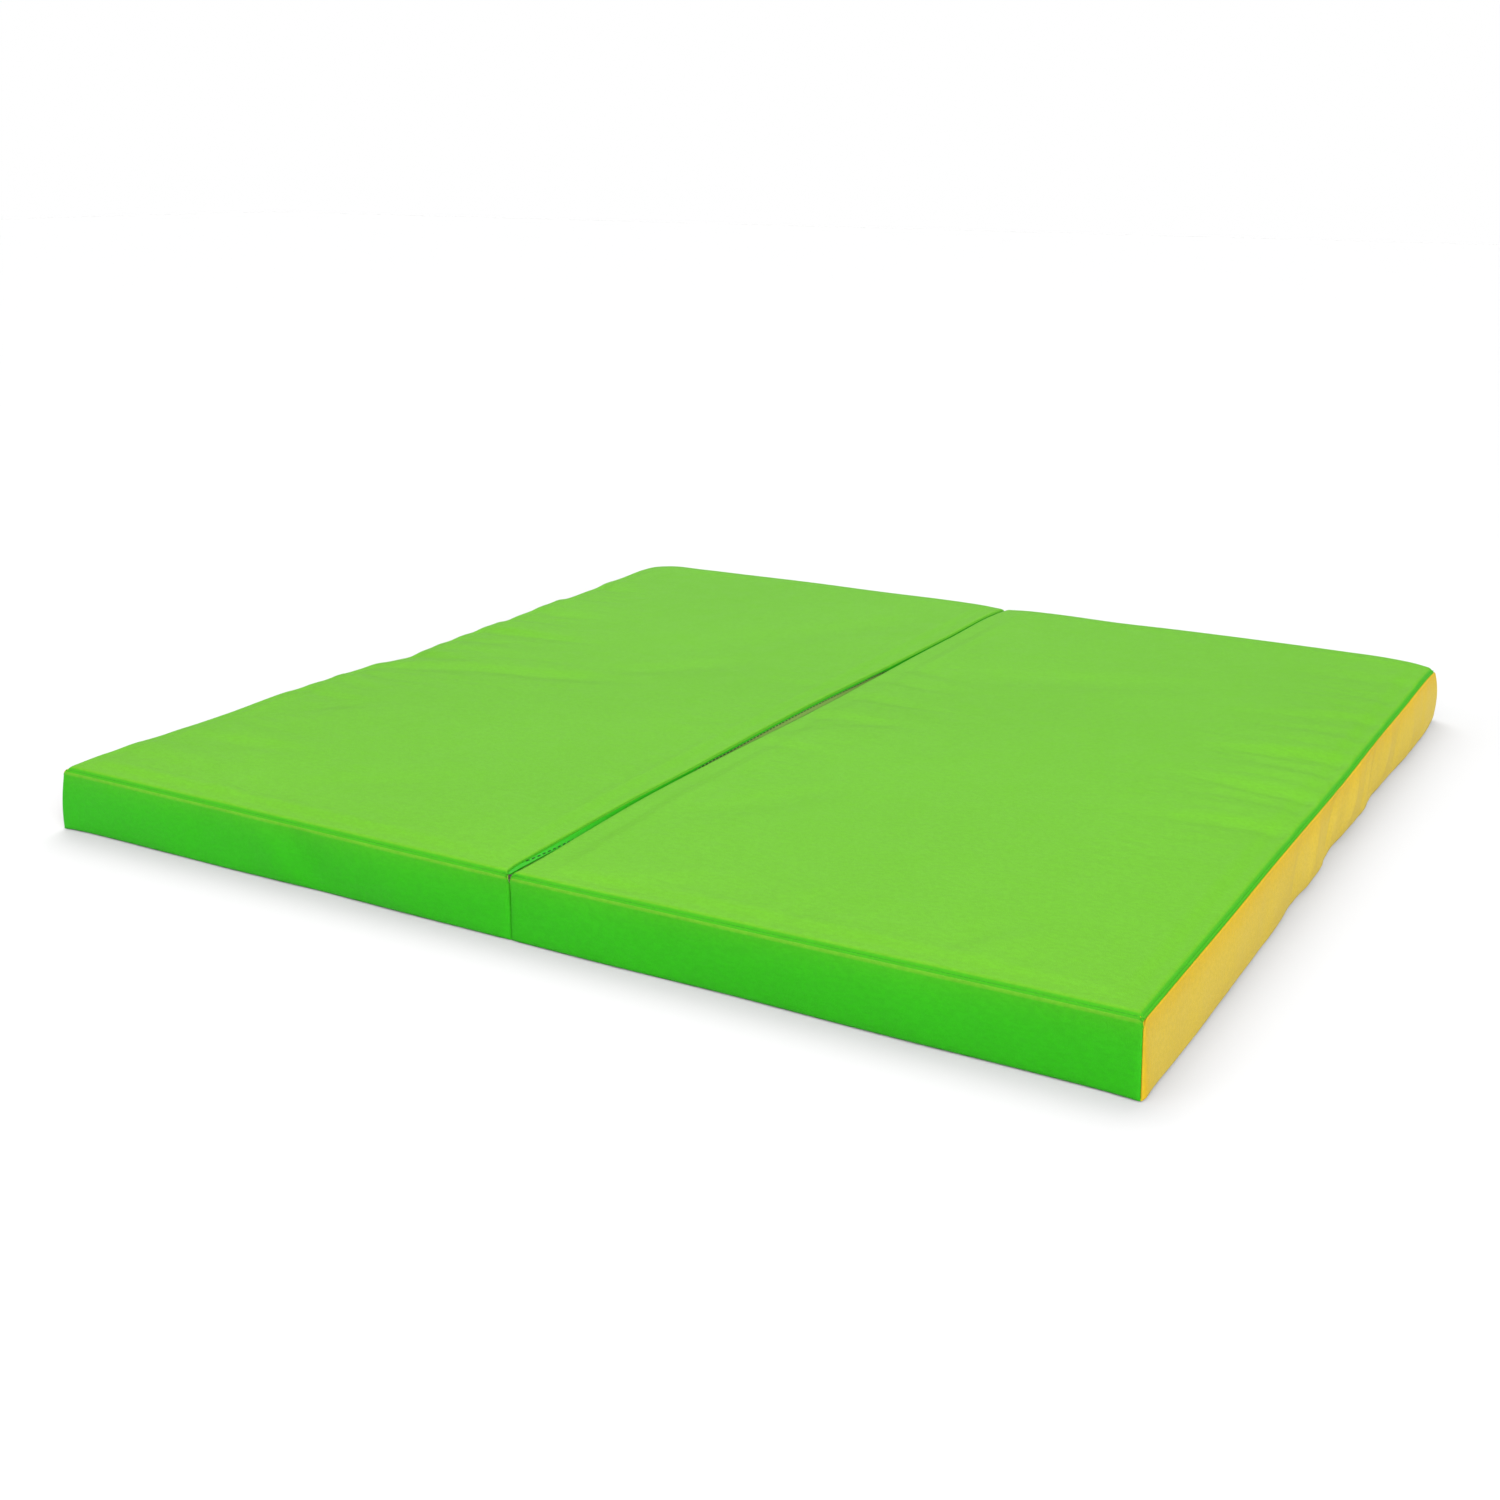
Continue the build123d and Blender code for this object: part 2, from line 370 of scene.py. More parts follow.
def vinyl(name, colour, edge_colour, cells=950.0, stretch=1.0, grain=0.45, gloss=0.42, shine=0.25):
    """Pebbled vinyl. The colour drifts, the grain's creases are painted darker as painted shade, and rubbed places are
    paler.
    """
    material, tree, shader, place = start_material(name, Specular_IOR_Level=shine)
    grain_out = use_effect(tree, grain_group, Place=place, Cells_per_metre=cells, Sideways_stretch=stretch)
    wear_out = use_effect(tree, wear_group, Place=place, Patches_per_metre=3.5)
    body = mixed(tree, wear_out["Drift"], shade(colour, 0.93), shade(colour, 1.07))
    # The edge colour: deep green with painted groove shade on a top sheet's turned edge, a painted highlight at a green
    # band's head.
    mask = wire(tree, "ShaderNodeAttribute", {"attribute_name": EDGE_COLOUR_SHADE_AND_HIGHLIGHT_MASK}).outputs["Fac"]
    edge = mixed(tree, wear_out["Mottle"], shade(edge_colour, 0.94), shade(edge_colour, 1.06))
    body = mixed(tree, mask, body, edge)
    paler = tuple(0.86 * c + 0.14 for c in colour[:3]) + (1.0,)
    # Flecks are dirt and rubs are wear; the darker creases of the grain are painted shade.
    for mark, strength, tone in (
        (wear_out["Flecks"], 0.16, shade(colour, 0.5)),
        (grain_out["Creases"], 0.15, shade(colour, 0.55)),
        (wear_out["Rubs"], 0.05, paler),
    ):
        body = mixed(tree, math_node(tree, "MULTIPLY", mark, strength), body, tone)
    bounced = wire(tree, "ShaderNodeLightPath").outputs["Is Diffuse Ray"]
    neutral = math_node(tree, "MULTIPLY", bounced, GREYED_SHARE)
    tree.links.new(mixed(tree, neutral, body, BOUNCE_GREY), shader.inputs["Base Color"])
    rough = math_node(tree, "MULTIPLY_ADD", wear_out["Mottle"], 0.16, gloss)
    rough = math_node(tree, "MULTIPLY_ADD", grain_out["Creases"], 0.10, rough)
    tree.links.new(rough, shader.inputs["Roughness"])
    relief_height = math_node(tree, "MULTIPLY_ADD", wear_out["Flecks"], 0.8, grain_out["Height"])
    ridged(tree, shader, grain, 0.00025, relief_height)
    return material


LIME = (0.165, 0.550, 0.019, 1.0)
GREEN = (0.030, 0.550, 0.003, 1.0)
YELLOW = (0.815, 0.605, 0.070, 1.0)
# A top sheet's turned edge: deep green, partly the hem's own colour and partly painted groove shade.
DEEP_GREEN_AND_GROOVE_SHADE = (0.058, 0.510, 0.009, 1.0)
ORANGE_YELLOW = (0.835, 0.545, 0.018, 1.0)
lime_vinyl = vinyl("lime_vinyl", LIME, DEEP_GREEN_AND_GROOVE_SHADE, shine=0.14)
# On the green bands LIME is a painted highlight on the folded head, with painted lightening below it.
green_vinyl = vinyl("green_vinyl", GREEN, LIME, cells=760.0, stretch=2.6, grain=0.6, gloss=0.38, shine=0.2)
yellow_vinyl = vinyl("yellow_vinyl", YELLOW, ORANGE_YELLOW, cells=760.0, stretch=2.2, grain=0.6, shine=0.12)
print("vinyls:", lime_vinyl.name, green_vinyl.name, yellow_vinyl.name)

# %% [markdown]
# Inside the cover is upholstery foam: a cream body, with painted shade in its open cells as pores.

# %% Foam
foam_material, tree, shader, place = start_material("foam", Specular_IOR_Level=0.1)
pores = wire(tree, "ShaderNodeTexVoronoi", Vector=place, Scale=700.0).outputs["Distance"]
# Painted shade in the foam's open cells.
pore_shade = remap(tree, pores, 0.15, 0.6, 1.0, 0.0)
wear_out = use_effect(tree, wear_group, Place=place, Patches_per_metre=6.0)
cream = mixed(tree, wear_out["Drift"], (0.74, 0.66, 0.42, 1), (0.86, 0.80, 0.58, 1))
foam_colour = mixed(tree, math_node(tree, "MULTIPLY", pore_shade, 0.5), cream, (0.42, 0.34, 0.18, 1))
tree.links.new(foam_colour, shader.inputs["Base Color"])
tree.links.new(remap(tree, pores, 0.0, 1.0, 0.85, 1.0), shader.inputs["Roughness"])
ridged(tree, shader, 0.6, 0.0006, pores)
print("made", foam_material.name)

# %% [markdown]
# The zipper tape is dull green polyester, woven and then stitched to the chain. The seams are
# sewn with green thread, and the zipper with a darker one. All use the weave group at their own
# scale.

# %% Tape and thread


def woven(name, light, gap_shade, yarns, depth):
    """Woven cloth: painted shade fills the gaps between the yarns, so that the yarns look as if they catch light."""
    material, tree, shader, place = start_material(name, Specular_IOR_Level=0.15)
    weave_out = use_effect(tree, weave_group, Place=place, Yarns_per_metre=yarns)
    wear_out = use_effect(tree, wear_group, Place=place, Patches_per_metre=20.0)
    cloth = mixed(tree, wear_out["Mottle"], shade(light, 0.88), shade(light, 1.08))
    # Painted shade in the gaps between the yarns.
    gaps = math_node(tree, "MULTIPLY", weave_out["Gaps"], 0.7)
    tree.links.new(mixed(tree, gaps, cloth, gap_shade), shader.inputs["Base Color"])
    rough = math_node(tree, "MULTIPLY_ADD", weave_out["Gaps"], 0.2, 0.7)
    tree.links.new(rough, shader.inputs["Roughness"])
    ridged(tree, shader, 0.7, depth, weave_out["Height"])
    return material


zip_tape = woven("zip_tape", (0.38, 0.65, 0.14, 1), (0.18, 0.32, 0.06, 1), 1500.0, 0.0002)
thread_material = woven("thread", (0.075, 0.50, 0.02, 1), (0.02, 0.26, 0.01, 1), 2600.0, 0.0001)
zip_thread = woven("zip_thread", (0.035, 0.11, 0.025, 1), (0.015, 0.05, 0.01, 1), 2600.0, 0.0001)
print("made", zip_tape.name, thread_material.name, zip_thread.name)

# %% [markdown]
# Zipper teeth are moulded plastic with a slight sheen; the sliders, pulls and end stops are
# plated metal that has lost its shine on the corners where fingers rub it.

# %% Teeth and metal
zip_teeth, tree, shader, place = start_material("zip_teeth", Specular_IOR_Level=0.5)
wear_out = use_effect(tree, wear_group, Place=place, Patches_per_metre=60.0)
tooth_colour = mixed(tree, wear_out["Mottle"], (0.20, 0.24, 0.15, 1), (0.34, 0.38, 0.26, 1))
tree.links.new(tooth_colour, shader.inputs["Base Color"])
tree.links.new(math_node(tree, "MULTIPLY_ADD", wear_out["Drift"], 0.2, 0.32), shader.inputs["Roughness"])
tooth_grain = use_effect(tree, grain_group, Place=place, Cells_per_metre=4000.0)
ridged(tree, shader, 0.2, 0.0001, tooth_grain["Height"])

zip_metal, tree, shader, place = start_material("zip_metal", Specular_IOR_Level=0.5)
wear_out = use_effect(tree, wear_group, Place=place, Patches_per_metre=120.0)
grime = mixed(tree, wear_out["Mottle"], (0.30, 0.30, 0.29, 1), (0.62, 0.62, 0.60, 1))
corner = wire(tree, "ShaderNodeNewGeometry").outputs["Pointiness"]
polished = remap(tree, corner, 0.52, 0.60)
tree.links.new(mixed(tree, polished, grime, (0.80, 0.79, 0.76, 1)), shader.inputs["Base Color"])
tree.links.new(math_node(tree, "MULTIPLY_ADD", polished, -0.2, 0.42), shader.inputs["Roughness"])
tree.links.new(math_node(tree, "MULTIPLY_ADD", wear_out["Rubs"], -0.2, 1.0), shader.inputs["Metallic"])
ridged(tree, shader, 0.25, 0.00005, wear_out["Mottle"])
print("made", zip_teeth.name, zip_metal.name)

# %% [markdown]
# ## How the covers are waved and puffed
# Foam is soft and a vinyl cover is never quite its size, so no edge of the real mat is straight.
# Each edge gets a few smooth lines drawn through listed points: how far its seam is lifted,
# how far the band swells, and where its foot meets the floor. The corners are stiff with layers
# of hem, so the lines meet there.

# %% Smooth lines through listed points


def line_through(*knots):
    """A smooth line through (place, amount) points, all in millimetres."""
    places, amounts = np.array(knots, float).T
    slopes = np.gradient(amounts, places)

    def amount_at(place):
        place = np.clip(place, places[0], places[-1])
        k = np.clip(np.searchsorted(places, place, side="right") - 1, 0, len(places) - 2)
        run = places[k + 1] - places[k]
        t = (place - places[k]) / run
        return (
            (2 * t**3 - 3 * t**2 + 1) * amounts[k]
            + (t**3 - 2 * t**2 + t) * run * slopes[k]
            + (3 * t**2 - 2 * t**3) * amounts[k + 1]
            + (t**3 - t**2) * run * slopes[k + 1]
        )

    return amount_at


# Heights of the seam above its drawn height: along the outer and fold edges by the place from
# front to back, and along the front and back edges by the distance from the fold.
LIFT = {
    "left": {
        "outer": line_through(
            (-500, 2.5), (-450, 4.4), (-380, 3.2), (-300, 3), (-225, 5), (-150, 3.4), (-100, 3.6),
            (-45, -1.2), (5, -1.2), (60, 1.6), (110, 2.4), (150, 2), (200, 4.2), (250, 4.8), (300, 4),
            (350, 6.2), (400, 6.8), (450, 8), (482, 5.6), (500, 2),
        ),
        "fold": line_through(
            (-500, 0.2), (-460, 1.6), (-400, 4), (-320, 6.6), (-200, 7.8), (0, 8.6), (150, 8), (330, 8.4),
            (470, 8.4), (500, 6),
        ),
        "front": line_through((1, 0.2), (60, 0.4), (250, 1.6), (440, 2.4), (500, 2.5)),
        "back": line_through(
            (1, 6), (25, 8.4), (60, 9.6), (150, 9), (250, 9.8), (350, 9), (430, 8), (475, 6.4), (500, 2)
        ),
    },
    "right": {
        "outer": line_through(
            (-500, 4), (-440, 3.6), (-300, 2.6), (-180, 3), (-60, 2), (60, 1), (150, 2.4), (230, 3.4),
            (320, 3), (400, 4), (460, 4), (500, 2.2),
        ),
        "fold": line_through(
            (-500, 0.2), (-460, 1.4), (-400, 3.4), (-320, 5.8), (-200, 6.8), (0, 7), (150, 7), (330, 7.8),
            (470, 8), (500, 6),
        ),
        "front": line_through((1, 0.2), (60, 0.6), (250, 2), (430, 3.6), (500, 4)),
        "back": line_through(
            (1, 6), (30, 8.6), (60, 9.4), (150, 8.8), (200, 9.6), (300, 10.2), (400, 9.6), (450, 8.6),
            (480, 6), (500, 2.2),
        ),
    },
}
# How far from the fold line the lip of each top sheet lies.
LIP = {
    "left": line_through(
        (-500, 8.2), (-493, 10), (-483, 11.4), (-465, 11.4), (-400, 10.2), (-322, 9), (-240, 7.6),
        (-150, 8.6), (-60, 9.8), (60, 9.6), (150, 7.6), (250, 5.6), (330, 4.6), (440, 3.4), (500, 2.7),
    ),
    "right": line_through(
        (-500, -4.8), (-488, -3.8), (-470, -3.2), (-400, -4.2), (-322, -5), (-240, -4.6), (-150, -3.2),
        (-60, -1.2), (60, -0.8), (150, -2.4), (250, -3.2), (330, -2.6), (440, -1.6), (500, 0.5),
    ),
}
# How far the fold line lies to the left of the middle, at each end.
FOLD_SHIFT = {"front": 6.8, "back": 1.0}
# How far below its lip the left green facing reaches, before the tape of the zipper shows.
FACING_REACH = line_through(
    (-500, 14), (-300, 14), (-220, 2), (-150, 1.6), (100, 1.6), (170, 2), (250, 14), (500, 14)
)
# Corners: how far the upright seam bulges, and how far its foot stands out.
CORNERS = {
    "left": {"front": (2.0, 3.4), "back": (1.4, 1.0)},
    "right": {"front": (0.6, 3.2), "back": (4.6, 0.2)},
}
# How far the middle of each band swells out.
SWELL = {
    "left": {
        "outer": line_through(
            (-500, 0), (-460, 2), (-300, 3.2), (-120, 2.4), (60, 3.4), (250, 2.6), (440, 2.4), (500, 0)
        ),
        "front": line_through((1, 0), (30, 1.4), (150, 2.6), (280, 1.8), (400, 2.8), (470, 1.8), (500, 0)),
        "back": line_through((1, 0), (30, 1.4), (200, 2.8), (400, 2.4), (500, 0)),
    },
    "right": {
        "outer": line_through(
            (-500, 0), (-460, 2), (-300, 3.4), (-150, 3.8), (-70, 2.6), (0, 1.2), (60, 2.2), (130, 3.6),
            (200, 1.4), (260, 2.4), (340, 4.4), (430, 4.6), (475, 2.4), (500, 0),
        ),
        "front": line_through((1, 0), (30, 1.6), (150, 2.2), (300, 3), (420, 2.4), (475, 1.2), (500, 0)),
        "back": line_through((1, 0), (30, 1.4), (200, 2.4), (400, 2.8), (500, 0)),
    },
}
# How far the foot of each band stands out.
FOOT = {
    "left": {
        "outer": line_through((-500, 1.2), (-300, 0.8), (0, 1), (250, 0.6), (500, 1)),
        "front": line_through((1, 2), (120, 1.4), (200, 0.6), (300, 2), (420, 1.2), (500, 1.2)),
        "back": line_through((1, 1.6), (150, 1), (350, 1.4), (500, 1)),
    },
    "right": {
        "outer": line_through(
            (-500, 3), (-450, 5), (-300, 5.2), (-170, 4.8), (-110, 3), (-60, 5), (-20, 5), (25, 0.6),
            (60, 1.2), (120, 3.6), (160, 3.8), (195, 1), (240, 2.2), (320, 4.6), (400, 6), (460, 5.4),
            (500, 3),
        ),
        "front": line_through((1, 2), (100, 2.4), (180, 1.2), (300, 2.6), (420, 2), (500, 2.2)),
        "back": line_through((1, 1.6), (150, 1.4), (350, 1), (500, 1.6)),
    },
}
print("edges described:", {side: list(LIFT[side]) for side in LIFT})

# %% [markdown]
# The top of a panel is puffed up by its foam. Close to an edge its height is that edge's; further
# in it is a low crown with slow undulations, and short puckers run in from the seams where the
# cover was gathered as it was sewn. A pucker is a ridge with a shallow valley beside it. The
# cover is stretched over its highest places, so the height is softly held under a tallest one.

# %% The puffed top
CROWN = 7.4
EDGE_REACH = 52.0
PUCKER_DEPTH = 3.4
VALLEY_SHARE, VALLEY_OFFSET = 0.6, 1.5
PUCKER_FADE = 14.0
LIP_REACH = 16.0
TALLEST = 10.4
CAP_SOFTNESS = 0.5
# Each pucker: x, y, heading in degrees, half length, half width, height.
PUCKERS = {
    "left": [
        (-470, -30, -12, 60, 13, -1.0), (-455, 20, -6, 70, 14, 0.9), (-428, 88, 0, 80, 13, -1.3),
        (-462, 130, -8, 60, 12, 0.8), (-450, 190, -10, 70, 15, -0.9), (-465, 250, -12, 60, 14, 0.9),
        (-470, 332, -18, 90, 15, -0.8), (-428, -82, 18, 80, 13, -1.2), (-305, -45, 12, 90, 17, -1.3),
        (-215, 30, 45, 90, 22, -0.8), (-462, -150, -14, 60, 13, 0.9), (-452, -215, -18, 60, 13, -0.8),
        (-374, -255, 50, 90, 20, 0.9), (-402, -378, 8, 70, 15, -0.9), (-436, -448, -4, 70, 14, -0.8),
        (-210, -395, 28, 110, 24, -0.8), (-330, -470, -40, 40, 12, 0.6), (-106, 315, 58, 150, 45, -1.0),
        (-157, 412, 40, 100, 30, -0.6), (-60, -120, 20, 45, 13, 0.5), (-50, 60, 24, 45, 13, -0.5),
    ],
    "right": [
        (66, -22, 0, 85, 14, -1.0), (60, -66, 40, 60, 14, 0.7), (52, 50, -10, 60, 13, -0.9),
        (50, 95, -16, 55, 13, 0.7), (44, -130, -14, 50, 13, -0.7), (48, 150, -18, 50, 13, 0.6),
        (90, -276, 55, 110, 26, -0.6), (200, 225, 20, 160, 38, -0.9), (450, -124, 14, 70, 14, -1.0),
        (458, -75, 8, 60, 14, 0.7), (450, -20, 2, 70, 13, -1.2), (455, 35, 8, 60, 14, 0.9),
        (448, 92, 16, 75, 14, -1.3), (445, 155, 14, 60, 14, 0.8), (440, 222, 22, 85, 15, -1.0),
        (452, 300, 12, 60, 14, 0.6), (440, 392, 10, 70, 15, -0.8), (110, -470, 18, 70, 15, -0.6),
        (380, -448, 60, 40, 13, 0.6), (230, -452, 74, 34, 13, -0.5),
    ],
}


def weights(across, y):
    """How strongly each edge sets the height here: 1 on the edge, dying away inwards."""
    gaps = {"fold": across - WALL, "outer": HALF - across, "front": y + HALF, "back": HALF - y}
    return {edge: np.exp(-((np.maximum(gap, 0) / EDGE_REACH) ** 1.4)) for edge, gap in gaps.items()}


def lifted(side, across, y):
    """How far the top is above its drawn height, before any cloth is simulated."""
    w = weights(across, y)
    lift = LIFT[side]
    total = sum(w[edge] * lift[edge](y if edge in ("fold", "outer") else across) for edge in w)
    for end, y_end in (("front", -HALF), ("back", HALF)):
        for line in ("fold", "outer"):
            total = total - w[end] * w[line] * lift[line](y_end)
    shared = 1 - (1 - w["fold"]) * (1 - w["outer"]) * (1 - w["front"]) * (1 - w["back"])
    x = SIDES[side] * across
    undulation = 0.9 * np.sin(x / 71 + y / 118 + 0.6)
    undulation = undulation + 0.7 * np.sin(y / 83 - x / 160 + 1.9)
    undulation = undulation + 0.5 * np.sin(x / 43 + y / 61)
    return total + (1 - np.clip(shared, 0, 1)) * (CROWN + undulation)


def puckered(side, across, y):
    """The height of the puckers here."""
    x = SIDES[side] * across
    total = np.zeros(np.broadcast(across, y).shape)
    for px, py, heading_deg, reach, width, height in PUCKERS[side]:
        c, s = math.cos(math.radians(heading_deg)), math.sin(math.radians(heading_deg))
        run = (x - px) * c + (y - py) * s
        beside = (y - py) * c - (x - px) * s
        fade = np.exp(-((run / reach) ** 2))
        ridge = np.exp(-((beside / width) ** 2))
        valley = np.exp(-(((beside - VALLEY_OFFSET * width) / width) ** 2))
        total = total + PUCKER_DEPTH * height * fade * (ridge - VALLEY_SHARE * valley)
    inside = np.minimum.reduce([across - WALL, HALF - across, y + HALF, HALF - y])
    return total * np.clip(inside / PUCKER_FADE, 0, 1)


RELIEF = {}


def relief(side, across, y):
    """What the cloth simulation adds to the height here, or nothing if it was skipped."""
    if side not in RELIEF:
        return 0.0
    columns, rows, heights = RELIEF[side]
    fx = np.clip((across - columns[0]) / (columns[1] - columns[0]), 0, len(columns) - 1.001)
    fy = np.clip((y - rows[0]) / (rows[1] - rows[0]), 0, len(rows) - 1.001)
    i, j = fx.astype(int), fy.astype(int)
    u, v = fx - i, fy - j
    u, v = u * u * (3 - 2 * u), v * v * (3 - 2 * v)
    low = heights[j, i] * (1 - u) + heights[j, i + 1] * u
    high = heights[j + 1, i] * (1 - u) + heights[j + 1, i + 1] * u
    return low * (1 - v) + high * v


def on_top(side, across, y, drop):
    """A point of the top sheet, waved: across and y are where it is drawn, drop is below the top."""
    across, y = np.broadcast_arrays(np.asarray(across, float), np.asarray(y, float))
    puffed = lifted(side, across, y) + puckered(side, across, y) + relief(side, across, y)
    puffed = puffed - CAP_SOFTNESS * np.logaddexp(0, (puffed - TALLEST) / CAP_SOFTNESS)
    height = TOP - drop + puffed
    near_lip = np.exp(-np.maximum(across - WALL, 0) / LIP_REACH)
    moved = across + (LIP[side](y) - WALL) * near_lip
    return np.stack([moved, y, np.broadcast_to(height, across.shape)], axis=-1)


middle_height = on_top("left", HALF / 2, 0.0, 0.0)[2]
print("middle of the left panel stands at", round(float(middle_height), 1), "mm")

# %% [markdown]
# ## Turning outlines into cloth
# Every vinyl piece is drawn as a grid of points on its outer face. A second grid is laid one
# thickness inside it and the rims are joined, which gives a closed shell with real edges, the
# same on each piece. The normals are then made to point outwards.

# %% Closed shells from grids
PANEL_MIDDLE = np.array([HALF / 2, 0.0, TOP / 2])


def mesh_piece(name, side, points, faces, material, smooth_under=50):
    """A piece from points in one panel's own terms. The left panel's are mirrored to x below 0."""
    placed = np.array(points, float) * MM
    if side:
        placed[:, 0] *= SIDES[side]
    mesh = bpy.data.meshes.new(name)
    mesh.from_pydata(placed.tolist(), [], faces)
    work = bmesh.new()
    work.from_mesh(mesh)
    bmesh.ops.remove_doubles(work, verts=work.verts, dist=2e-6)
    bmesh.ops.dissolve_degenerate(work, edges=work.edges, dist=1e-6)
    bmesh.ops.recalc_face_normals(work, faces=work.faces)
    work.to_mesh(mesh)
    work.free()
    mesh.shade_smooth()
    mesh.set_sharp_from_angle(angle=math.radians(smooth_under))
    mesh.materials.append(material)
    piece = bpy.data.objects.new(name, mesh)
    bpy.context.scene.collection.objects.link(piece)
    return piece


def outward(grid, middle):
    """Unit normals of a grid of points, on the side away from the middle of the panel."""
    normals = np.cross(np.gradient(grid, axis=0), np.gradient(grid, axis=1))
    normals /= np.maximum(np.linalg.norm(normals, axis=-1, keepdims=True), 1e-9)
    return normals if (normals * (grid - middle)).sum() > 0 else -normals


def grid_quads(rows, columns, start=0):
    """The faces of a grid of points, and the points' numbers in their rows and columns."""
    index = np.arange(rows * columns).reshape(rows, columns) + start
    corners = (index[:-1, :-1], index[1:, :-1], index[1:, 1:], index[:-1, 1:])
    return np.stack(corners, axis=-1).reshape(-1, 4), index


def shell(name, side, grid, thickness, material, middle=PANEL_MIDDLE):
    """A closed sheet of that thickness whose outer face is the grid."""
    rows, columns = grid.shape[:2]
    inner = grid - outward(grid, middle) * thickness
    outer_quads, outer_index = grid_quads(rows, columns)
    inner_quads, inner_index = grid_quads(rows, columns, rows * columns)
    rims = []
    for edge in (np.s_[0], np.s_[-1], np.s_[:, 0], np.s_[:, -1]):
        outer_line, inner_line = outer_index[edge], inner_index[edge]
        rims.append(np.stack([outer_line[:-1], outer_line[1:], inner_line[1:], inner_line[:-1]], axis=-1))
    faces = np.concatenate([outer_quads, inner_quads[:, ::-1], *rims]).tolist()
    points = np.concatenate([grid.reshape(-1, 3), inner.reshape(-1, 3)])
    return mesh_piece(name, side, points, faces, material)


def loft(name, side, rings, material):
    """A closed body through rings of points, with a face at each end."""
    count, around = rings.shape[:2]
    faces = []
    for r in range(count - 1):
        for c in range(around):
            d = (c + 1) % around
            faces.append((r * around + c, r * around + d, (r + 1) * around + d, (r + 1) * around + c))
    faces.append(tuple(range(around)))
    faces.append(tuple(range((count - 1) * around, count * around)))
    return mesh_piece(name, side, rings.reshape(-1, 3), faces, material)


def fitted(piece, side, node):
    """The piece rides on its panel and stands for its CAD node, which is hidden."""
    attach(piece, BODIES[side])
    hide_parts(node)
    return piece


def steps(start, stop, spacing):
    """Evenly spaced places from start to stop, about that far apart."""
    return np.linspace(start, stop, max(2, round(abs(stop - start) / spacing) + 1))


def stacked(*coordinates):
    """Points from their three coordinates, each of which may be one number or a whole grid."""
    return np.stack(np.broadcast_arrays(*coordinates), axis=-1)


print("shell and loft ready")

# %% [markdown]
# ## The edge of a top sheet
# Where two sheets are sewn together the top one rolls over, slopes down to the band at about
# half a right angle, and is stitched part of the way down, where the thread pulls a groove.
# At the fold there is less room and the roll is tighter. Each outline is a list of how far in
# from the edge and how far below the top.

# %% Outlines of a sheet's edge
OUTER_ROLL = np.array(
    [
        (1.2, 4.45), (1.7, 4.02), (2.2, 3.58), (2.65, 3.22), (2.95, 3.12), (3.3, 2.92), (3.6, 2.42),
        (4.1, 1.92), (4.7, 1.38), (5.3, 0.88), (6.0, 0.44), (6.9, 0.15), (8.2, 0.03), (10.0, 0.0),
    ]
)
FOLD_ROLL = np.array(
    [
        (0.0, 2.2), (0.15, 1.8), (0.42, 1.46), (0.75, 1.34), (1.1, 1.12), (1.45, 0.72), (2.0, 0.44),
        (2.9, 0.18), (4.2, 0.04), (6.0, 0.0),
    ]
)
OUTER_STITCH, FOLD_STITCH = 3.1, 0.85
CORNER_DRAW, CORNER_REACH = 0.3, 6.0


def rolled(depths_in, depths_beside):
    """The drop where two rolled edges meet at a corner: the deeper of the two, rounded off."""
    return (depths_in**5 + depths_beside**5) ** 0.2


def drop_across(across):
    """How far the sheet has rolled down at this distance from the fold."""
    fold_drop = np.interp(across - WALL, FOLD_ROLL[:, 0], FOLD_ROLL[:, 1])
    return fold_drop + np.interp(HALF - across, OUTER_ROLL[:, 0], OUTER_ROLL[:, 1])


def drop_along(y):
    """How far the sheet has rolled down this far along the panel."""
    return np.interp(HALF - np.abs(y), OUTER_ROLL[:, 0], OUTER_ROLL[:, 1])


def sheet_point(side, across, y, sunk=0.0):
    """A point of the top sheet's outer face, with its corners drawn in a little."""
    drop = rolled(drop_across(across), drop_along(y)) + sunk
    from_corner = (HALF - across) + (HALF - np.abs(y))
    drawn_in = CORNER_DRAW * np.exp(-from_corner / CORNER_REACH)
    place = on_top(side, across, y, drop)
    place[..., 0] -= drawn_in
    place[..., 1] -= drawn_in * np.sign(y)
    return place


print("roll is", OUTER_ROLL[0, 1], "mm deep outside and", FOLD_ROLL[0, 1], "mm at the fold")

# %% [markdown]
# ## Slack vinyl on foam
# The vinyl is cut slightly larger than its foam, most of all near the seams, so it lies in soft
# ridges. A cloth simulation finds them: a net of vinyl is pinned round its border, given a
# little extra length where it was gathered, and dropped on the foam. The heights that it settles
# to are read back and added to the finely drawn sheet, whose seams and stitches a simulation's
# coarse net would lose.

# %% Let the vinyl settle
NET_SPACING = 9.0
NET_MARGIN = 16.0
SLACK_EVERYWHERE = 0.12
# Where the vinyl was gathered: x, y, reach, share of the greatest slack.
SLACK_SPOTS = {
    "left": [
        (-455, 60, 90, 1.0), (-450, -180, 80, 0.7), (-300, -440, 90, 0.6), (-70, 80, 90, 0.6),
        (-440, 330, 90, 0.7),
    ],
    "right": [
        (60, 20, 110, 1.0), (455, 60, 110, 1.0), (455, 330, 90, 0.6), (200, -440, 80, 0.5),
        (80, -280, 90, 0.5),
    ],
}
CLOTH = {
    "quality": 7,
    "mass": 0.00004,
    "tension_stiffness": 18,
    "compression_stiffness": 18,
    "shear_stiffness": 6,
    "bending_stiffness": 0.4,
    "vertex_group_mass": "pinned",
    "vertex_group_shrink": "slack",
    "shrink_min": 0.0,
    "shrink_max": -0.011,
}
FOAM_BELOW_NET = 0.6
LEAST_GAIN, MOST_GAIN = -1.5, 3.0


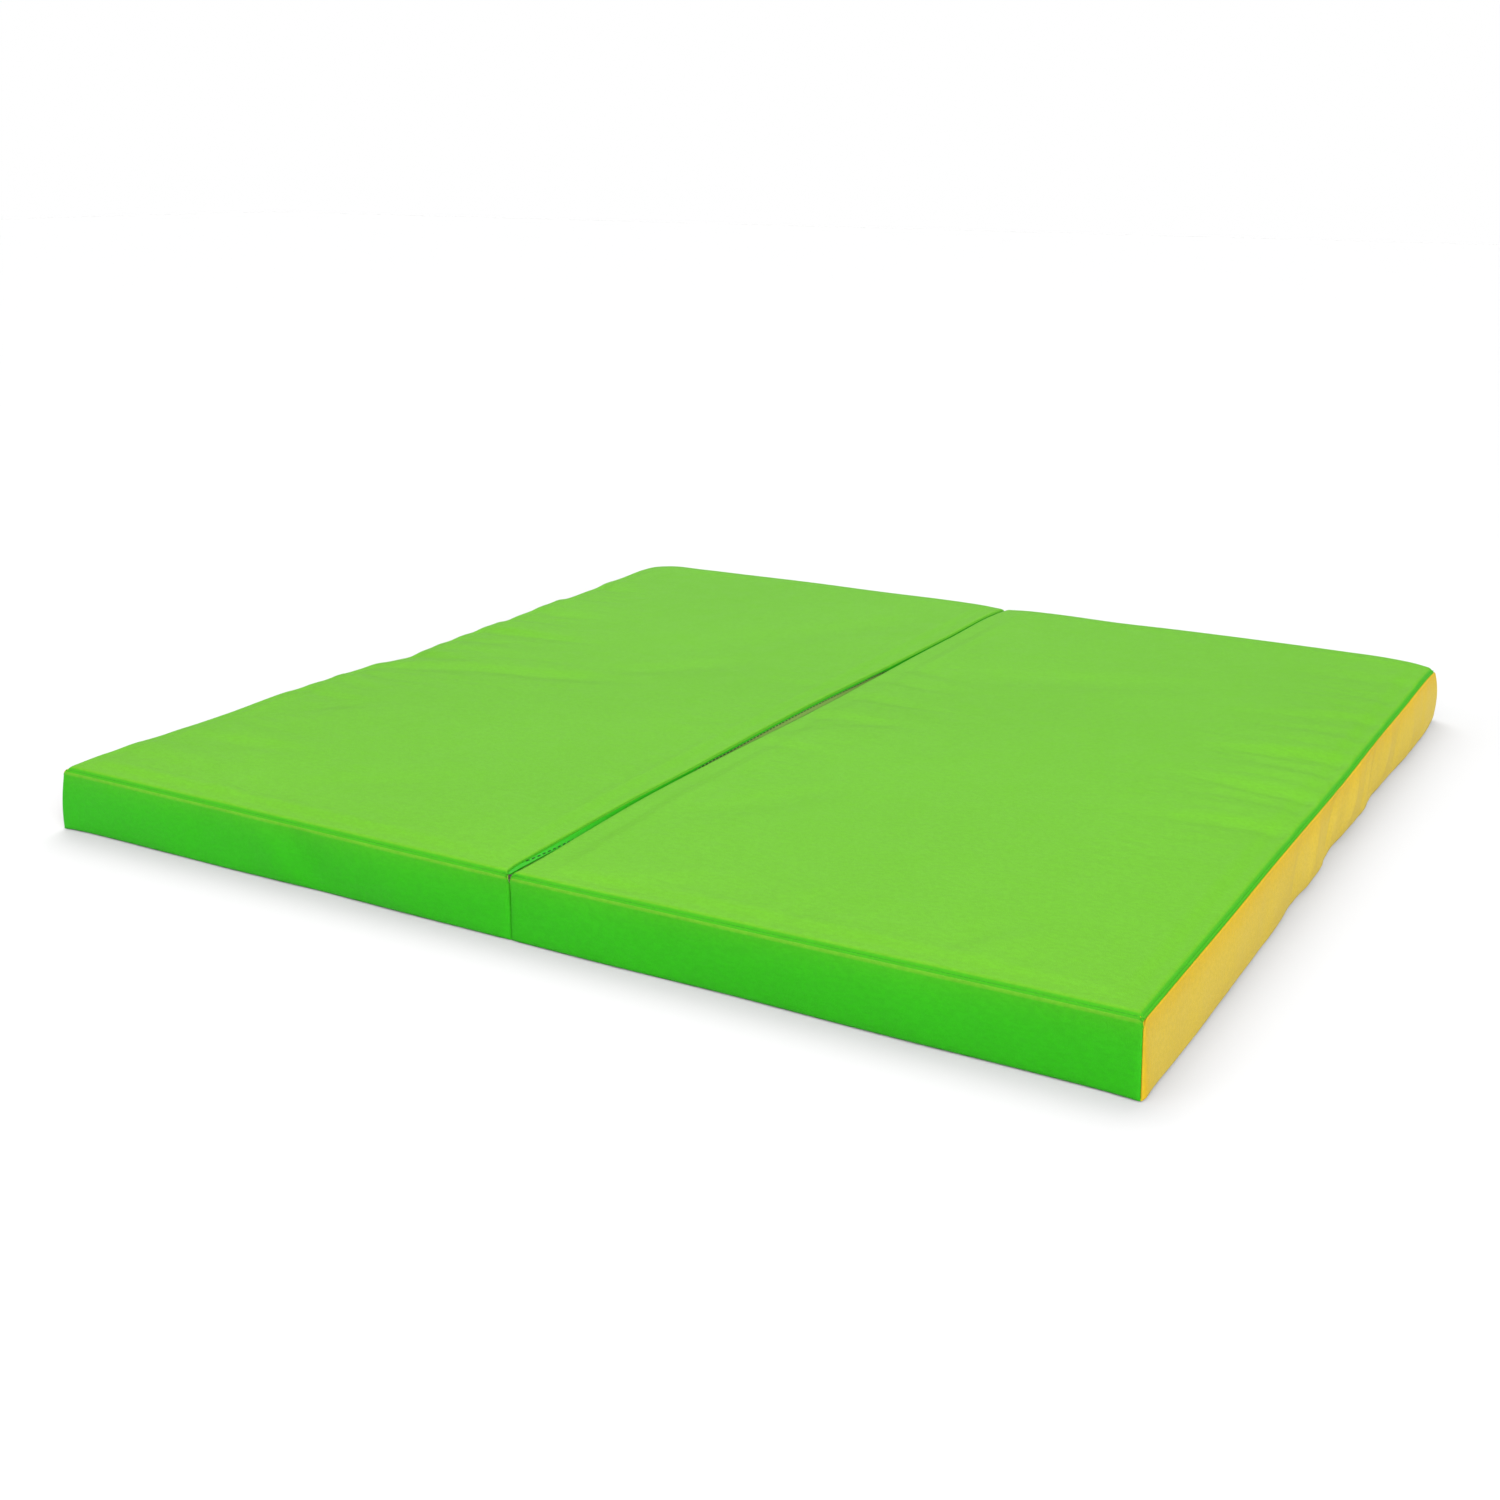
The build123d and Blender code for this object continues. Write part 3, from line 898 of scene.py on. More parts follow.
def net_object(name, points, rows, columns):
    """A plain grid of points as an object, for the simulation only."""
    quads, _ = grid_quads(rows, columns)
    mesh = bpy.data.meshes.new(name)
    mesh.from_pydata((points.reshape(-1, 3) * MM).tolist(), [], quads[:, ::-1].tolist())
    made = bpy.data.objects.new(name, mesh)
    bpy.context.scene.collection.objects.link(made)
    return made


def settle(side, frames=26):
    """Drop a net of slack vinyl on one panel's foam, and keep how far it lies above the drawing."""
    columns = steps(WALL + NET_MARGIN, HALF - NET_MARGIN, NET_SPACING)
    rows = steps(-HALF + NET_MARGIN, HALF - NET_MARGIN, NET_SPACING)
    across, y = np.meshgrid(columns, rows)
    drawn = on_top(side, across, y, 0.0)
    net = net_object("slack_vinyl_net", drawn, len(rows), len(columns))
    under = drawn - np.array([0, 0, FOAM_BELOW_NET])
    foam_top = net_object("foam_under_the_net", under, len(rows), len(columns))
    foam_top.modifiers.new("rest", "COLLISION")
    foam_top.collision.thickness_outer = 0.0005
    foam_top.collision.cloth_friction = 8
    x = SIDES[side] * across
    slack = np.full(across.shape, SLACK_EVERYWHERE)
    for px, py, reach, amount in SLACK_SPOTS[side]:
        slack = np.maximum(slack, amount * np.exp(-((x - px) ** 2 + (y - py) ** 2) / reach**2))
    border = np.ones(across.shape, bool)
    border[1:-1, 1:-1] = False
    pinned = net.vertex_groups.new(name="pinned")
    pinned.add(np.flatnonzero(border).tolist(), 1.0, "REPLACE")
    loose = net.vertex_groups.new(name="slack")
    for vertex, share in enumerate(slack.ravel()):
        loose.add([vertex], float(share), "REPLACE")
    cloth = net.modifiers.new("cloth", "CLOTH")
    for setting, value in CLOTH.items():
        setattr(cloth.settings, setting, value)
    cloth.collision_settings.distance_min = 0.0004
    cloth.collision_settings.collision_quality = 3
    cloth.point_cache.frame_end = frames
    scene = bpy.context.scene
    scene.frame_end = frames
    for frame_number in range(1, frames + 1):
        scene.frame_set(frame_number)
    settled = net.evaluated_get(bpy.context.evaluated_depsgraph_get()).to_mesh()
    heights = np.zeros(len(settled.vertices) * 3)
    settled.vertices.foreach_get("co", heights)
    lain = heights.reshape(len(rows), len(columns), 3)[..., 2] / MM
    scene.frame_set(1)
    for spent in (net, foam_top):
        bpy.data.objects.remove(spent)
    gained = np.clip(lain - drawn[..., 2], LEAST_GAIN, MOST_GAIN)
    print(side, "net", across.shape, "gained", gained.min().round(2), "to", gained.max().round(2), "mm")
    return columns, rows, gained


RELIEF.update({side: settle(side) for side in SIDES})

# %% [markdown]
# ## Top sheets
# The sheet's grid is close where it rolls over its edges and about 5 mm in the middle, fine
# enough for puckers to keep their shape. The mask of the turned edge, whose deep green is partly
# painted groove shade, is painted from how far each point has dropped.

# %% Top sheets
MIDDLE_SPACING = 5.0


def sheet_lines():
    """Where the grid's lines lie: across the panel, and along it."""
    outer_end = np.concatenate([OUTER_ROLL[:, 0], [13]])
    fold_end = np.concatenate([FOLD_ROLL[:, 0], [9]])
    middle = steps(WALL + 13, HALF - 17, MIDDLE_SPACING)
    across = np.concatenate([WALL + fold_end, middle, (HALF - outer_end)[::-1]])
    middle = steps(-HALF + 17, HALF - 17, MIDDLE_SPACING)
    y = np.concatenate([-HALF + outer_end, middle, (HALF - outer_end)[::-1]])
    return across, y


MASK_STARTS, MASK_FADE = 0.9, 0.8


def vertex_places(piece, side):
    """The piece's points in its panel's own terms: across, along and up, in millimetres."""
    x, y, z = (np.array([v.co for v in piece.data.vertices], float) / MM).T
    return x * SIDES[side], y, z


def paint(piece, share):
    """Store on each point how much of the edge colour it has."""
    mask = piece.data.attributes.new(EDGE_COLOUR_SHADE_AND_HIGHLIGHT_MASK, "FLOAT", "POINT")
    mask.data.foreach_set("value", share.astype(np.float32))


def paint_turned_edge(piece, side):
    """Mark the part of a top sheet that has turned down towards its seam: deep green, partly painted groove shade."""
    across, y, _ = vertex_places(piece, side)
    along_lip = np.interp(across - LIP[side](y), FOLD_ROLL[:, 0], FOLD_ROLL[:, 1])
    outer = np.interp(HALF - across, OUTER_ROLL[:, 0], OUTER_ROLL[:, 1])
    fold_share = np.interp(y, (-500, -320, -200, 500), (0.9, 0.6, 0.45, 0.4))
    drop = np.maximum.reduce([along_lip * fold_share, outer, drop_along(y)])
    share = np.clip((drop - MASK_STARTS) / MASK_FADE, 0, 1)
    paint(piece, share * share * (3 - 2 * share))


for side in SIDES:
    lines_across, lines_along = sheet_lines()
    across, y = np.meshgrid(lines_across, lines_along)
    face = sheet_point(side, across, y)
    top = shell(f"{side}_top_cover", side, face, VINYL, lime_vinyl)
    paint_turned_edge(top, side)
    fitted(top, side, f"{side}_top_sheet")
    print(top.name, "has", len(top.data.polygons), "faces")

# %% [markdown]
# ## Bands
# A band is the strip round the thickness of a panel. Its top edge is folded over into a fine
# ridge just below the sheet, painted with a thin highlight on the green bands; the rest of the fold
# lies under the sheet. The face swells a little with the foam and the foot curls under to the
# bottom seam. At the corners two bands meet back to back in an upright seam, and at the fold the
# end bands turn in as flanges.

# %% Outlines of a band
# Each row: how far out from the drawn face, and its height.
BAND_ROWS = np.array(
    [
        (-6.3, 54.3), (-5.0, 53.2), (-3.8, 52.15), (-2.7, 51.25), (-1.95, 50.9), (-1.4, 51.1), (-1.08, 51.6),
        (-0.85, 51.98), (-0.58, 52.1), (-0.32, 51.95), (-0.12, 51.5), (0, 50.7), (0, 49.3), (0, 47),
        (0, 44), (0, 40.5), (0, 36.5), (0, 32.5), (0, 28.5), (0, 24.5), (0, 20.5), (0, 16.5), (0, 12.5),
        (0, 9), (0, 6), (-0.08, 3.6), (-0.4, 2.2), (-1.0, 1.15), (-1.7, 0.55), (-2.35, 0.3), (-2.75, 0.4), (-3.05, 1.0),
        (-3.6, 1.6), (-6.0, 1.7), (-10.0, 1.7),
    ]
)
RIDGE = 8
RIDGE_HEIGHT = BAND_ROWS[RIDGE, 1]
# Each step round a corner: distance from it, turned in by, and how much of the outline is left.
CORNER_TURN = [
    (12, 0, 1), (8.5, 0, 1), (6, 0, 0.95), (4.1, 0.03, 0.8), (2.8, 0.12, 0.55), (2, 0.32, 0.3),
    (1.5, 0.62, 0.14), (1.3, 1.05, 0.06), (1.6, 1.5, 0.05), (2.3, 2.2, 0.05), (3.5, 3.4, 0.05),
    (5.4, 5.3, 0.05),
]
FLANGE_TURN = [
    (11, 0, 1), (7, 0, 1), (4.5, 0.02, 0.9), (2.8, 0.1, 0.65), (1.7, 0.35, 0.35), (1.15, 0.85, 0.12),
    (1.0, 1.6, 0.05), (1.2, 2.6, 0.05), (1.9, 3.8, 0.05), (3.0, 5.4, 0.05), (4.5, 7.4, 0.05),
    (6.0, 9.3, 0.05), (6.9, 11.2, 0.05), (7.3, 13.5, 0.05), (7.3, 17, 0.05),
]
CREASE_DEPTH = 2.8
CORNER_SINK = 5.5
CORNER_SPREAD = 14.0
# Upright creases in a band: place along it, lean, half width, depth.
CREASES = {
    "right": {
        "outer": [
            (-410, 0.4, 20, -0.5), (-300, 0.5, 22, 0.5), (-210, 0.6, 18, -0.6), (-110, 0.8, 12, -0.9),
            (-55, 0.8, 15, 1.2), (18, 0.85, 10, -1.7), (90, 0.9, 15, 1.2), (150, 0.9, 10, -1.3),
            (188, 0.8, 10, -1.1), (240, 0.9, 15, 1.0), (290, 0.8, 12, -0.7), (350, 0.6, 15, 0.7),
            (410, 0.6, 13, -0.5),
        ],
        "front": [(140, 0.5, 26, -0.5), (330, -0.4, 30, 0.5)],
    },
    "left": {
        "front": [(210, 0.5, 22, -0.9), (250, 0.6, 20, 0.7), (330, -0.5, 26, -0.6), (120, 0.4, 24, 0.5)],
        "outer": [
            (-120, 0.5, 18, -1.0), (-40, -0.4, 18, 1.0), (60, 0.5, 18, -1.0), (180, 0.4, 20, 0.8),
            (300, -0.5, 20, -0.8),
        ],
    },
}
print("a band is drawn with", len(BAND_ROWS), "rows, its ridge at", RIDGE_HEIGHT, "mm")

# %% [markdown]
# The same outline is carried along every band. What changes is how far out the face swells, how
# high the ridge rides with the sheet above it, and where the foot stands.

# %% Carry the outline along a band


def band_face(side, edge, along, turned_in, kept):
    """The outer face of a band, as distances out from its drawn face, heights and places along."""
    out, height = (column[:, None] for column in BAND_ROWS.T)
    up = np.clip(height / RIDGE_HEIGHT, 0, 1)
    above = np.maximum(height - RIDGE_HEIGHT, 0)
    follows = np.clip((height - 5) / (RIDGE_HEIGHT - 5), 0, 1) ** 1.2
    z = np.minimum(height, RIDGE_HEIGHT) + above * kept + follows * LIFT[side][edge](along)
    belly = np.sin(np.pi * up) ** 0.8
    swell = SWELL[side][edge](along) * belly
    for place, lean, width, depth in CREASES[side].get(edge, []):
        offset = along - place - lean * (height - RIDGE_HEIGHT / 2)
        swell = swell + CREASE_DEPTH * depth * np.exp(-((offset / width) ** 2)) * belly
    foot = FOOT[side][edge](along) * (1 - up) ** 2
    reach = (out + swell + foot) * kept - turned_in
    z = z - follows * CORNER_SINK * np.clip(turned_in / 1.2, 0, 1)
    places = np.broadcast_to(along, z.shape)
    ends = {"front": -1, "back": 1} if edge == "outer" else {edge: 1}
    for end, direction in ends.items():
        bulge, stand = CORNERS[side][end]
        push = bulge * belly + stand * (1 - up) ** 1.6
        near = np.exp(-np.maximum(HALF - direction * along, 0) / CORNER_SPREAD)
        reach = reach + push * near
        places = places + direction * push * near
    return reach, z, places


def end_steps(turn, corner, direction):
    """The steps round a corner that lies at that place, run in towards it from the middle."""
    away, turned_in, kept = np.array(turn, float).T
    return corner + direction * away, turned_in, kept


def band_run(first_turn, first, last_turn, last, spacing=7.0):
    """Places along a band with a turned corner at each end."""
    a0, t0, k0 = end_steps(first_turn, first, 1)
    a1, t1, k1 = end_steps(last_turn, last, -1)
    middle = steps(a0[0], a1[0], spacing)[1:-1]
    flat = np.zeros_like(middle)
    return (
        np.concatenate([a0[::-1], middle, a1]),
        np.concatenate([t0[::-1], flat, t1]),
        np.concatenate([k0[::-1], flat + 1, k1]),
    )


def paint_ridge(piece, side, edge):
    """Mark the folded edge of a band: on a green one a thin painted highlight with fainter painted lightening fading
    down the face, on a yellow one a deeper orange-yellow fading down from the head and along the front end.
    """
    across, y, z = vertex_places(piece, side)
    along = y if edge == "outer" else across
    below = RIDGE_HEIGHT + LIFT[side][edge](along) - z
    # A yellow band: deeper orange-yellow fading down from the head and along the front end.
    if edge == "outer":
        head = np.exp(-((np.maximum(below, 0) / 12) ** 1.6))
        beside = np.exp(-((np.maximum(HALF + along, 0) / 8) ** 1.5))
    else:
        # A green band: a thin painted highlight on the ridge, and fainter painted lightening fading down the face.
        head = np.clip((2.1 - below) / 0.6, 0, 1)
        beside = 0.34 * np.exp(-np.maximum(below, 0) / 11)
    paint(piece, np.maximum(head, beside))


BAND_THICKNESS = 0.6
for side in SIDES:
    for edge, end in (("front", -1), ("back", 1)):
        along, turned_in, kept = band_run(FLANGE_TURN, 0.0, CORNER_TURN, HALF)
        reach, z, places = band_face(side, edge, along, turned_in, kept)
        near_fold = np.exp(-np.maximum(places - 1, 0) / 3)
        gape = 0.75 * np.exp(-(((z - 34) / 15) ** 2)) - 0.45 - 0.25 * np.clip(1 - z / 40, 0, 1)
        shift = -SIDES[side] * FOLD_SHIFT[edge] * np.exp(-places / 60 - turned_in / 6) * (0.86 + z / 400)
        face = np.stack([places + gape * near_fold + shift, end * (HALF + reach), z], axis=-1)
        band = shell(f"{side}_{edge}_strip", side, face, BAND_THICKNESS, green_vinyl)
        paint_ridge(band, side, edge)
        fitted(band, side, f"{side}_{edge}_band")
    along, turned_in, kept = band_run(CORNER_TURN, -HALF, CORNER_TURN, HALF)
    reach, z, places = band_face(side, "outer", along, turned_in, kept)
    face = np.stack([HALF + reach, places, z], axis=-1)
    band = shell(f"{side}_outer_strip", side, face, BAND_THICKNESS, yellow_vinyl)
    paint_ridge(band, side, "outer")
    fitted(band, side, f"{side}_side_band")
    print(side, "bands made,", len(band.data.polygons), "faces in the longest")

# %% [markdown]
# ## The two walls at the fold
# Below the zipper each fold wall is a plain green strip. Above it a narrow facing hangs from the
# lip of the top sheet and turns back to the zipper's tape, leaving the slider its way.

# %% Fold walls and facings
FOLD_BAND_ROWS = np.array(
    [
        (6.72, 44.2), (6.6, 44.65), (6.3, 44.78), (6.08, 44.55), (6.0, 44.0), (6.0, 41), (6.0, 36),
        (6.0, 30), (6.0, 24), (6.0, 18), (6.0, 12), (6.0, 7), (6.02, 4), (6.2, 2.6), (6.8, 1.95),
        (8.0, 1.75), (14, 1.7), (28, 1.7),
    ]
)


def fold_wall(side):
    """The green strip from the zipper down to the floor, a little slack between its seams."""
    y = steps(-HALF + 10.5, HALF - 10.5, 9.0)[None, :]
    across, z = (column[:, None] for column in FOLD_BAND_ROWS.T)
    belly = np.sin(np.pi * np.clip((z - 3) / 41, 0, 1)) * (across < 6.1)
    slack = 0.35 + 0.3 * np.sin(y / 47 + SIDES[side]) + 0.2 * np.sin(y / 19 + 2)
    return stacked(across - belly * slack, y, z)


# Where the lip stands back, the facing's foot is raised by this share of it, clear of the slider.
SLIDER_ROOM = 0.12


def facing_foot(side, y):
    """Where the facing leaves the lip, and where it ends: distances from the fold, and heights."""
    lip = LIP[side](y)
    under_lip = TOP + lifted(side, np.full_like(y, WALL), y) - FOLD_ROLL[0, 1]
    recess = np.maximum(lip - WALL - 0.15, 0)
    lowest = FACING_FOOT + SLIDER_ROOM * recess
    foot = lowest
    if side == "left":
        foot = np.maximum(lowest, under_lip - FACING_REACH(y))
    share = (under_lip - foot) / (under_lip - lowest)
    return lip, under_lip, lip - share * recess, foot


def facing_face(side):
    """From under the sheet's lip, over a small ridge, down, and back to the tape."""
    y = steps(-HALF + 3.5, HALF - 3.5, 6.0)
    lip, under_lip, foot_out, foot = facing_foot(side, y)
    rows = [
        (lip + 4.5, under_lip + 0.35), (lip + 2.6, under_lip + 0.15), (lip + 1.4, under_lip - 0.15),
        (lip + 0.55, under_lip - 0.35), (lip + 0.1, under_lip - 0.1), (lip - 0.15, under_lip - 0.2),
    ]
    for share in (0.15, 0.4, 0.7, 0.95):
        height = under_lip - 0.2 + (foot + 0.2 - under_lip) * share
        rows.append((lip - 0.2 + (foot_out - lip) * share, height))
    rows += [
        (foot_out + 0.15, foot + 0.02), (foot_out + 0.7, foot),
        (np.maximum(foot_out + 1.2, WALL - 0.6), foot), (np.maximum(foot_out + 2, WALL + 0.7), foot),
    ]
    return np.stack([stacked(a, y, z) for a, z in rows])


FACING_THICKNESS = 0.45
for side in SIDES:
    wall = shell(f"{side}_fold_wall", side, fold_wall(side), BAND_THICKNESS, green_vinyl)
    fitted(wall, side, f"{side}_fold_band")
    facing = shell(f"{side}_lip_facing", side, facing_face(side), FACING_THICKNESS, green_vinyl)
    fitted(facing, side, f"{side}_zip_facing")
    print(wall.name, facing.name, "made")

# %% [markdown]
# ## Undersides and hinge
# The bottom sheets lie flat on the floor and curl up only where they meet the foot of a band.
# The hinge strip joins the panels across the fold, and it has close lines of points near the fold.

# %% Bottom sheets and hinge strip
# How far in from the edge, and how high the underside is there.
FOOT_ROLL = np.array(
    [
        (3.0, 0.35), (3.3, 0.12), (4.0, 0.01), (4.4, 0.04), (4.65, 0.34), (5.15, 0.34), (5.4, 0.04),
        (6.2, 0.01), (9, 0),
    ]
)
FOOT_STITCH = 4.9


def underside(side):
    """The bottom sheet's outer face, which follows the feet of the bands."""
    inset, foot = FOOT_ROLL[:, 0], FOOT[side]
    across = np.concatenate([steps(STRIP_REACH + 0.1, HALF - 18, 14), (HALF - inset)[::-1]])
    y = np.concatenate([-HALF + inset, steps(-HALF + 18, HALF - 18, 14), (HALF - inset)[::-1]])
    across, y = np.meshgrid(across, y)
    rise_across = np.interp(HALF - across, FOOT_ROLL[:, 0], FOOT_ROLL[:, 1])
    rise_along = np.interp(HALF - np.abs(y), FOOT_ROLL[:, 0], FOOT_ROLL[:, 1])
    near_outer = np.exp(-(HALF - across) / 12) * np.clip((HALF - np.abs(y)) / 8, 0.4, 1)
    moved_across = across + foot["outer"](y) * near_outer
    ends = np.where(y < 0, foot["front"](across), foot["back"](across))
    moved_y = y + np.sign(y) * ends * np.exp(-(HALF - np.abs(y)) / 12)
    near_corner = np.exp(-((HALF - across) + (HALF - np.abs(y))) / CORNER_SPREAD)
    stand = np.where(y < 0, CORNERS[side]["front"][1], CORNERS[side]["back"][1]) * near_corner
    moved_across, moved_y = moved_across + stand * 0.6, moved_y + np.sign(y) * stand * 0.6
    return np.stack([moved_across, moved_y, np.maximum(rise_across, rise_along)], axis=-1)


# The hinge strip's outline near its edge: how far in, and how high.
HINGE_LINES = [
    (0.1, 0.06), (0.5, 0.0), (3.2, 0.0), (4.0, 0.0), (4.25, 0.03), (4.4, 0.33), (4.8, 0.33), (4.95, 0.03),
    (5.2, 0.0), (8, 0.0),
]
HINGE_STITCH = 4.6


def hinge_face():
    """The strip's outer face, from edge to edge across the fold, with a groove at each seam."""
    half = np.array([(STRIP_REACH - inset, z) for inset, z in HINGE_LINES])
    close = np.array([(x, 0.0) for x in (16, 11, 8, 6, 4.5, 3.2, 2.2, 1.4, 0.7)])
    right = np.concatenate([half, close])
    lines = np.concatenate([right * (-1, 1), [(0.0, 0.0)], right[::-1]])
    y = steps(-HALF + 5, HALF - 5, 11)[None, :]
    across, z = (column[:, None] for column in lines.T)
    return stacked(across, y, z)


for side in SIDES:
    bottom = shell(f"{side}_under_cover", side, underside(side), VINYL, yellow_vinyl)
    fitted(bottom, side, f"{side}_bottom_sheet")
    print(bottom.name, "made")

fold_middle = np.array([0.0, 0.0, TOP / 2])
strip = shell("fold_hinge_strip", None, hinge_face(), VINYL, yellow_vinyl, middle=fold_middle)
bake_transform(strip)
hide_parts("hinge_strip")
print(strip.name, "blends across the fold")

# %% [markdown]
# ## Foam
# Each panel's foam is a block with rounded shoulders, a little smaller than its cover. It is cut
# back behind the zipper so that the slider has room to run, and clear of the deepest creases of
# the outer band.

# %% Foam pads
# How far the block stays inside its cover: at the fold, at the creased outer band, and below.
FOAM_BACK, FOAM_SIDE, FOAM_UNDER = 10.8, 5.2, 2.6
FOAM_BELOW_COVER = 4.0
# The rounded ends: how far in from the end, and how much smaller the outline is there.
FOAM_ENDS = np.array([(2.6, 9.0), (3.4, 6.0), (5.4, 3.2), (8.6, 1.2), (14, 0.0)])


def foam_rings(side):
    """Upright outlines of the foam, one after another along the panel."""
    rings = []
    inner, outer, under = FOAM_BACK, HALF - FOAM_SIDE, FOAM_UNDER
    inset, shrink_there = FOAM_ENDS.T
    middle = steps(-HALF + 22, HALF - 22, 9)
    places = np.concatenate([-HALF + inset, middle, (HALF - inset)[::-1]])
    shrinks = np.concatenate([shrink_there, np.zeros(len(middle)), shrink_there[::-1]])
    for y, shrink in zip(places, shrinks):
        low, high = inner + shrink, outer - shrink
        floor_line = under + shrink * 0.5
        across = np.concatenate(
            [[low, low + 1.2, low + 4], np.linspace(low + 12, high - 14, 52), [high - 7, high - 2.6, high]]
        )
        shoulder = np.concatenate([[4.2, 2.0, 0.6], np.zeros(len(across) - 6), [0.8, 3.0, 6.0]])
        puffed = on_top(side, np.clip(across, WALL, HALF), y, 0.0)[..., 2] - TOP
        lid = TOP - FOAM_BELOW_COVER + np.where(puffed > 0, puffed * 0.97, puffed) - shoulder - shrink * 0.9
        upper = stacked(across, lid)
        lower = np.array([(high, 8.0), (high - 1.0, floor_line + 1.2), (high - 4, floor_line)])
        flat = stacked(np.linspace(high - 20, low + 20, 9), floor_line)
        back = np.array([(low + 4, floor_line), (low + 1.0, floor_line + 1.2), (low, 8.0)])
        outline = np.concatenate([upper, lower, flat, back])
        rings.append(stacked(outline[:, 0], y, outline[:, 1]))
    return np.array(rings)


for side in SIDES:
    pad = loft(f"{side}_foam_pad", side, foam_rings(side), foam_material)
    fitted(pad, side, f"{side}_foam_core")
    print(pad.name, "has", len(pad.data.polygons), "faces")

# %% [markdown]
# ## Zipper tapes
# The zipper is sewn between the facing and the fold wall. Only a few millimetres of its woven
# tape show on either side of the teeth. The upper tape follows the foot of the facing, and turns
# in under the top sheet there.

# %% Zipper tapes
tape_low, tape_high = planes("left_upper_zip_tape")
TAPE_FACE, TAPE_END = -tape_high[0], tape_high[1]
TAPE_EDGE, TAPE_TOP = tape_low[2], tape_high[2]
lower_tape_low, lower_tape_high = planes("left_lower_zip_tape")
TAPE_THICKNESS = 0.5


def upper_tape_face(side):
    """From beside the teeth up to the foot of the facing, and in under the sheet."""
    y = steps(-TAPE_END, TAPE_END, 6)
    _, _, foot_out, foot = facing_foot(side, y)
    rows = [(TAPE_FACE, TAPE_EDGE), (TAPE_FACE, TAPE_EDGE + 0.8)]
    start = (TAPE_FACE + 0.1, TAPE_TOP - 0.6)
    turn = (np.maximum(foot_out + 0.3, TAPE_FACE + 0.3), np.maximum(foot - 0.12, TAPE_TOP - 0.1))
    for share in (0.0, 0.3, 0.6, 0.9, 1.0):
        rows.append((start[0] + (turn[0] - start[0]) * share, start[1] + (turn[1] - start[1]) * share))
    rows += [(turn[0] + 0.6, turn[1] + 0.05), (turn[0] + 4, turn[1]), (turn[0] + 9, turn[1] - 0.1)]
    return np.stack([stacked(a, y, z) for a, z in rows])


def lower_tape_face():
    """A plain strip from beside the teeth down under the top of the fold wall."""
    y = steps(-TAPE_END, TAPE_END, 12)
    heights = (lower_tape_low[2], 40, 43, 45, lower_tape_high[2])
    return np.stack([stacked(TAPE_FACE, y, z) for z in heights])


for side in SIDES:
    for name, face, width in (("upper", upper_tape_face(side), 0.0145), ("lower", lower_tape_face(), 0.01)):
        tape = shell(f"{side}_{name}_tape", side, face, TAPE_THICKNESS, zip_tape)
        fitted(tape, side, f"{side}_{name}_zip_tape")
    print(side, "tapes made")

# %% [markdown]
# ## What repeats: teeth and stitches
# A zipper has hundreds of equal teeth and a seam has hundreds of equal stitches, so each is
# described once, as a Geometry Nodes tree with its sizes as named inputs. The tree places a
# copy at every step along a line. Its result is made a plain mesh, one for each row or seam.

# %% Helpers for Geometry Nodes


def new_tree(name, inputs):
    """A Geometry Nodes tree with a mesh in, a mesh out and named inputs between."""
    tree = bpy.data.node_groups.new(name, "GeometryNodeTree")
    tree.interface.new_socket(name="Geometry", in_out="INPUT", socket_type="NodeSocketGeometry")
    for socket, kind in inputs:
        tree.interface.new_socket(name=socket, in_out="INPUT", socket_type=kind)
    tree.interface.new_socket(name="Geometry", in_out="OUTPUT", socket_type="NodeSocketGeometry")
    return tree, tree.nodes.new("NodeGroupInput").outputs, tree.nodes.new("NodeGroupOutput").inputs


def grow(tree, name, start_mesh, values, smooth_under=45):
    """Run a tree on a mesh with these values, and keep its result as a plain mesh."""
    source = bpy.data.objects.new(name + "_source", start_mesh)
    bpy.context.scene.collection.objects.link(source)
    modifier = source.modifiers.new("grown", "NODES")
    modifier.node_group = tree
    sockets = {item.name: item.identifier for item in tree.interface.items_tree if item.in_out == "INPUT"}
    for socket, value in values.items():
        modifier[sockets[socket]] = value
    evaluated = source.evaluated_get(bpy.context.evaluated_depsgraph_get())
    grown = bpy.data.meshes.new_from_object(evaluated)
    grown.name = name
    source.modifiers.remove(modifier)
    bpy.data.objects.remove(source)
    grown.shade_smooth()
    grown.set_sharp_from_angle(angle=math.radians(smooth_under))
    piece = bpy.data.objects.new(name, grown)
    bpy.context.scene.collection.objects.link(piece)
    return piece


def product(tree, first, second):
    """Two values multiplied."""
    return math_node(tree, "MULTIPLY", first, second)


def vector(tree, x=0.0, y=0.0, z=0.0):
    """Three values as one vector."""
    return wire(tree, "ShaderNodeCombineXYZ", X=x, Y=y, Z=z).outputs[0]


def raised(tree, part, height, rotation=(0.0, 0.0, 0.0)):
    """A part turned, then lifted to that height."""
    lift = vector(tree, z=height)
    return wire(tree, "GeometryNodeTransform", Geometry=part, Translation=lift, Rotation=rotation).outputs[0]


def placed_copies(tree, points, part, material, result, **more):
    """Copies of a part on points, made real and given their material: the end of every tree."""
    copies = wire(tree, "GeometryNodeInstanceOnPoints", Points=points, Instance=part, **more).outputs[0]
    real = wire(tree, "GeometryNodeRealizeInstances", Geometry=copies).outputs[0]
    painted = wire(tree, "GeometryNodeSetMaterial", Geometry=real, Material=material).outputs[0]
    tree.links.new(painted, result)


print("ready to grow")

# %% [markdown]
# A moulded tooth has a square root, clamped on the edge of the tape, and a rounded head that
# reaches towards the other row. The rows are set half a step apart, as in a closed zipper.

